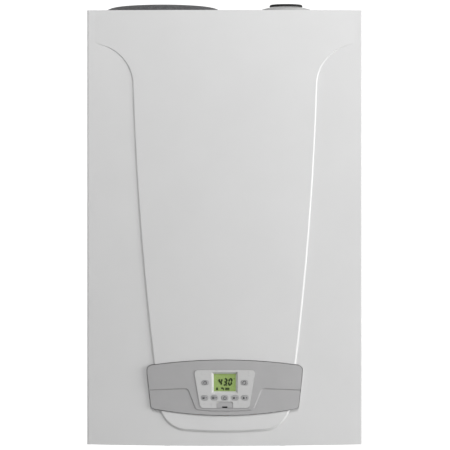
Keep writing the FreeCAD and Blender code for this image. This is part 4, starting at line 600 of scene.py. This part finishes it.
def panHead(name, place, out):
    turn = facing(out)
    profile = [(screw["flat"], screw["rise"])]
    for k in range(1, screw["curve"] + 1):
        angle = math.radians(90 * k / screw["curve"])
        profile.append((screw["flat"] + (screw["radius"] - screw["flat"]) * math.sin(angle),
                        screw["rise"] * math.cos(angle)))
    bm = bmesh.new()
    rings = []
    for r, h in profile:
        ring = []
        for i in range(screw["sides"]):
            spin = 2 * math.pi * i / screw["sides"]
            spot = Vector((r * math.cos(spin), r * math.sin(spin), h))
            ring.append(bm.verts.new(Vector(place) + turn @ spot))
        rings.append(ring)
    for near, far in zip(rings, rings[1:]):
        for i in range(screw["sides"]):
            k = (i + 1) % screw["sides"]
            bm.faces.new((near[i], near[k], far[k], far[i]))
    bm.faces.new(rings[0])
    bm.faces.new(rings[-1][::-1])
    finishPiece(name, bm, finishes["zinc_screws"], "chassis")
    crossRecessShade(name + "_recess", place, turn, screw["rise"])


# the cross recess is not cut: a thin near-black inlay on the head, painted shade for the hollow
def crossRecessShade(name, place, turn, level):
    bm = bmesh.new()
    long, slim = screw["cross"] / 2, screw["slit"] / 2
    outline = [(slim, slim), (slim, long), (-slim, long), (-slim, slim), (-long, slim), (-long, -slim),
               (-slim, -slim), (-slim, -long), (slim, -long), (slim, -slim), (long, -slim), (long, slim)]
    points = [Vector(place) + turn @ Vector((x, y, level)) for x, y in outline]
    thicken(bm, points, turn @ Vector((0, 0, screw["recessThick"])))
    finishPiece(name, bm, recessShadeInk, "chassis")


for number, level in enumerate(screw["levels"]):
    panHead("left_rear_screw_%d" % number, (caseLow.x, -screw["inset"], level), (-1, 0, 0))
    panHead("right_rear_screw_%d" % number, (caseHigh.x, -screw["inset"], level), (1, 0, 0))
for number, x in enumerate(screw["topPlaces"]):
    panHead("top_rear_screw_%d" % number, (x, -screw["inset"], caseHigh.z), (0, 0, 1))
screwLow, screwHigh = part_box("cover_screws")
headRadius = (screwHigh.y - screwLow.y) / 2
for side, x in (("left", screwLow.x + headRadius), ("right", screwHigh.x - headRadius)):
    place = (x, (screwLow.y + screwHigh.y) / 2, screwLow.z)
    crossRecessShade(side + "_cover_screw_recess", place, facing((0, 0, -1)), 0.0)
print("screws set")

# studio: camera, soft light, pale floor
studio = {
    "frontY": -0.455, "distance": 6.0, "cameraX": 0.0005, "cameraZ": -0.4085, "lens": 220.2,
    "sensor": 36, "farEnd": 60, "floorZ": -1.6, "floorHalf": 4.0, "roomGlow": 0.085, "wallGlow": 1.16,
    "aim": (0, -0.45, -0.4),
    "lights": {  # place, size, power; the low ones graze the pressed steps
        "key": ((0.1, -2.6, 1.9), 1.0, 58),
        "right": ((3.0, -1.9, -0.4), 1.8, 66),
        "rim": ((3.2, -0.75, -0.4), 1.2, 20),
        "left": ((-3.0, -1.3, -0.5), 1.2, 4.0),
    },
}
cameraData = bpy.data.cameras.new("camera")
cameraData.lens = studio["lens"]
cameraData.sensor_width = studio["sensor"]
cameraData.clip_end = studio["farEnd"]
camera = bpy.data.objects.new("camera", cameraData)
camera.location = (studio["cameraX"], studio["frontY"] - studio["distance"], studio["cameraZ"])
camera.rotation_euler = (math.radians(90), 0, 0)
bpy.context.scene.collection.objects.link(camera)
bpy.context.scene.camera = camera
bpy.context.scene.view_settings.view_transform = "Standard"  # plain whites, as in a catalogue picture

for lightName, (place, size, power) in studio["lights"].items():
    lightData = bpy.data.lights.new(lightName, "AREA")
    lightData.size = size
    lightData.energy = power
    light = bpy.data.objects.new(lightName, lightData)
    light.location = place
    aim = Vector(studio["aim"]) - light.location
    light.rotation_euler = aim.to_track_quat("-Z", "Y").to_euler()
    bpy.context.scene.collection.objects.link(light)

world = bpy.data.worlds.new("studio")
bpy.context.scene.world = world
world.use_nodes = True
sky = world.node_tree
glow = sky.nodes["Background"]
direction = sky.nodes.new("ShaderNodeTexCoord")
parts = sky.nodes.new("ShaderNodeSeparateXYZ")
sky.links.new(direction.outputs["Generated"], parts.inputs["Vector"])
ahead = sky.nodes.new("ShaderNodeMapRange")  # brighter behind the boiler than on the room's side
ahead.inputs["From Min"].default_value = 0
ahead.inputs["To Min"].default_value = studio["roomGlow"]
ahead.inputs["To Max"].default_value = studio["wallGlow"]
sky.links.new(parts.outputs["Y"], ahead.inputs["Value"])
sky.links.new(ahead.outputs["Result"], glow.inputs["Strength"])
glow.inputs["Color"].default_value = (1, 1, 1, 1)

floorMesh = bpy.data.meshes.new("floor")
half = studio["floorHalf"]
floorCorners = [(-half, -half, 0), (half, -half, 0), (half, half, 0), (-half, half, 0)]
floorMesh.from_pydata(floorCorners, [], [(0, 1, 2, 3)])
floor = bpy.data.objects.new("floor", floorMesh)
floor.location = (0, 0, studio["floorZ"])
floorMesh.materials.append(coloured("floor", {
    "colour": (0.6, 0.6, 0.595), "vary": 0.02, "mottle": 1.5, "rough": 0.7,
    "grain": 60, "depth": 0.05, "distance": 0.0002}))
bpy.context.scene.collection.objects.link(floor)
print("studio ready")
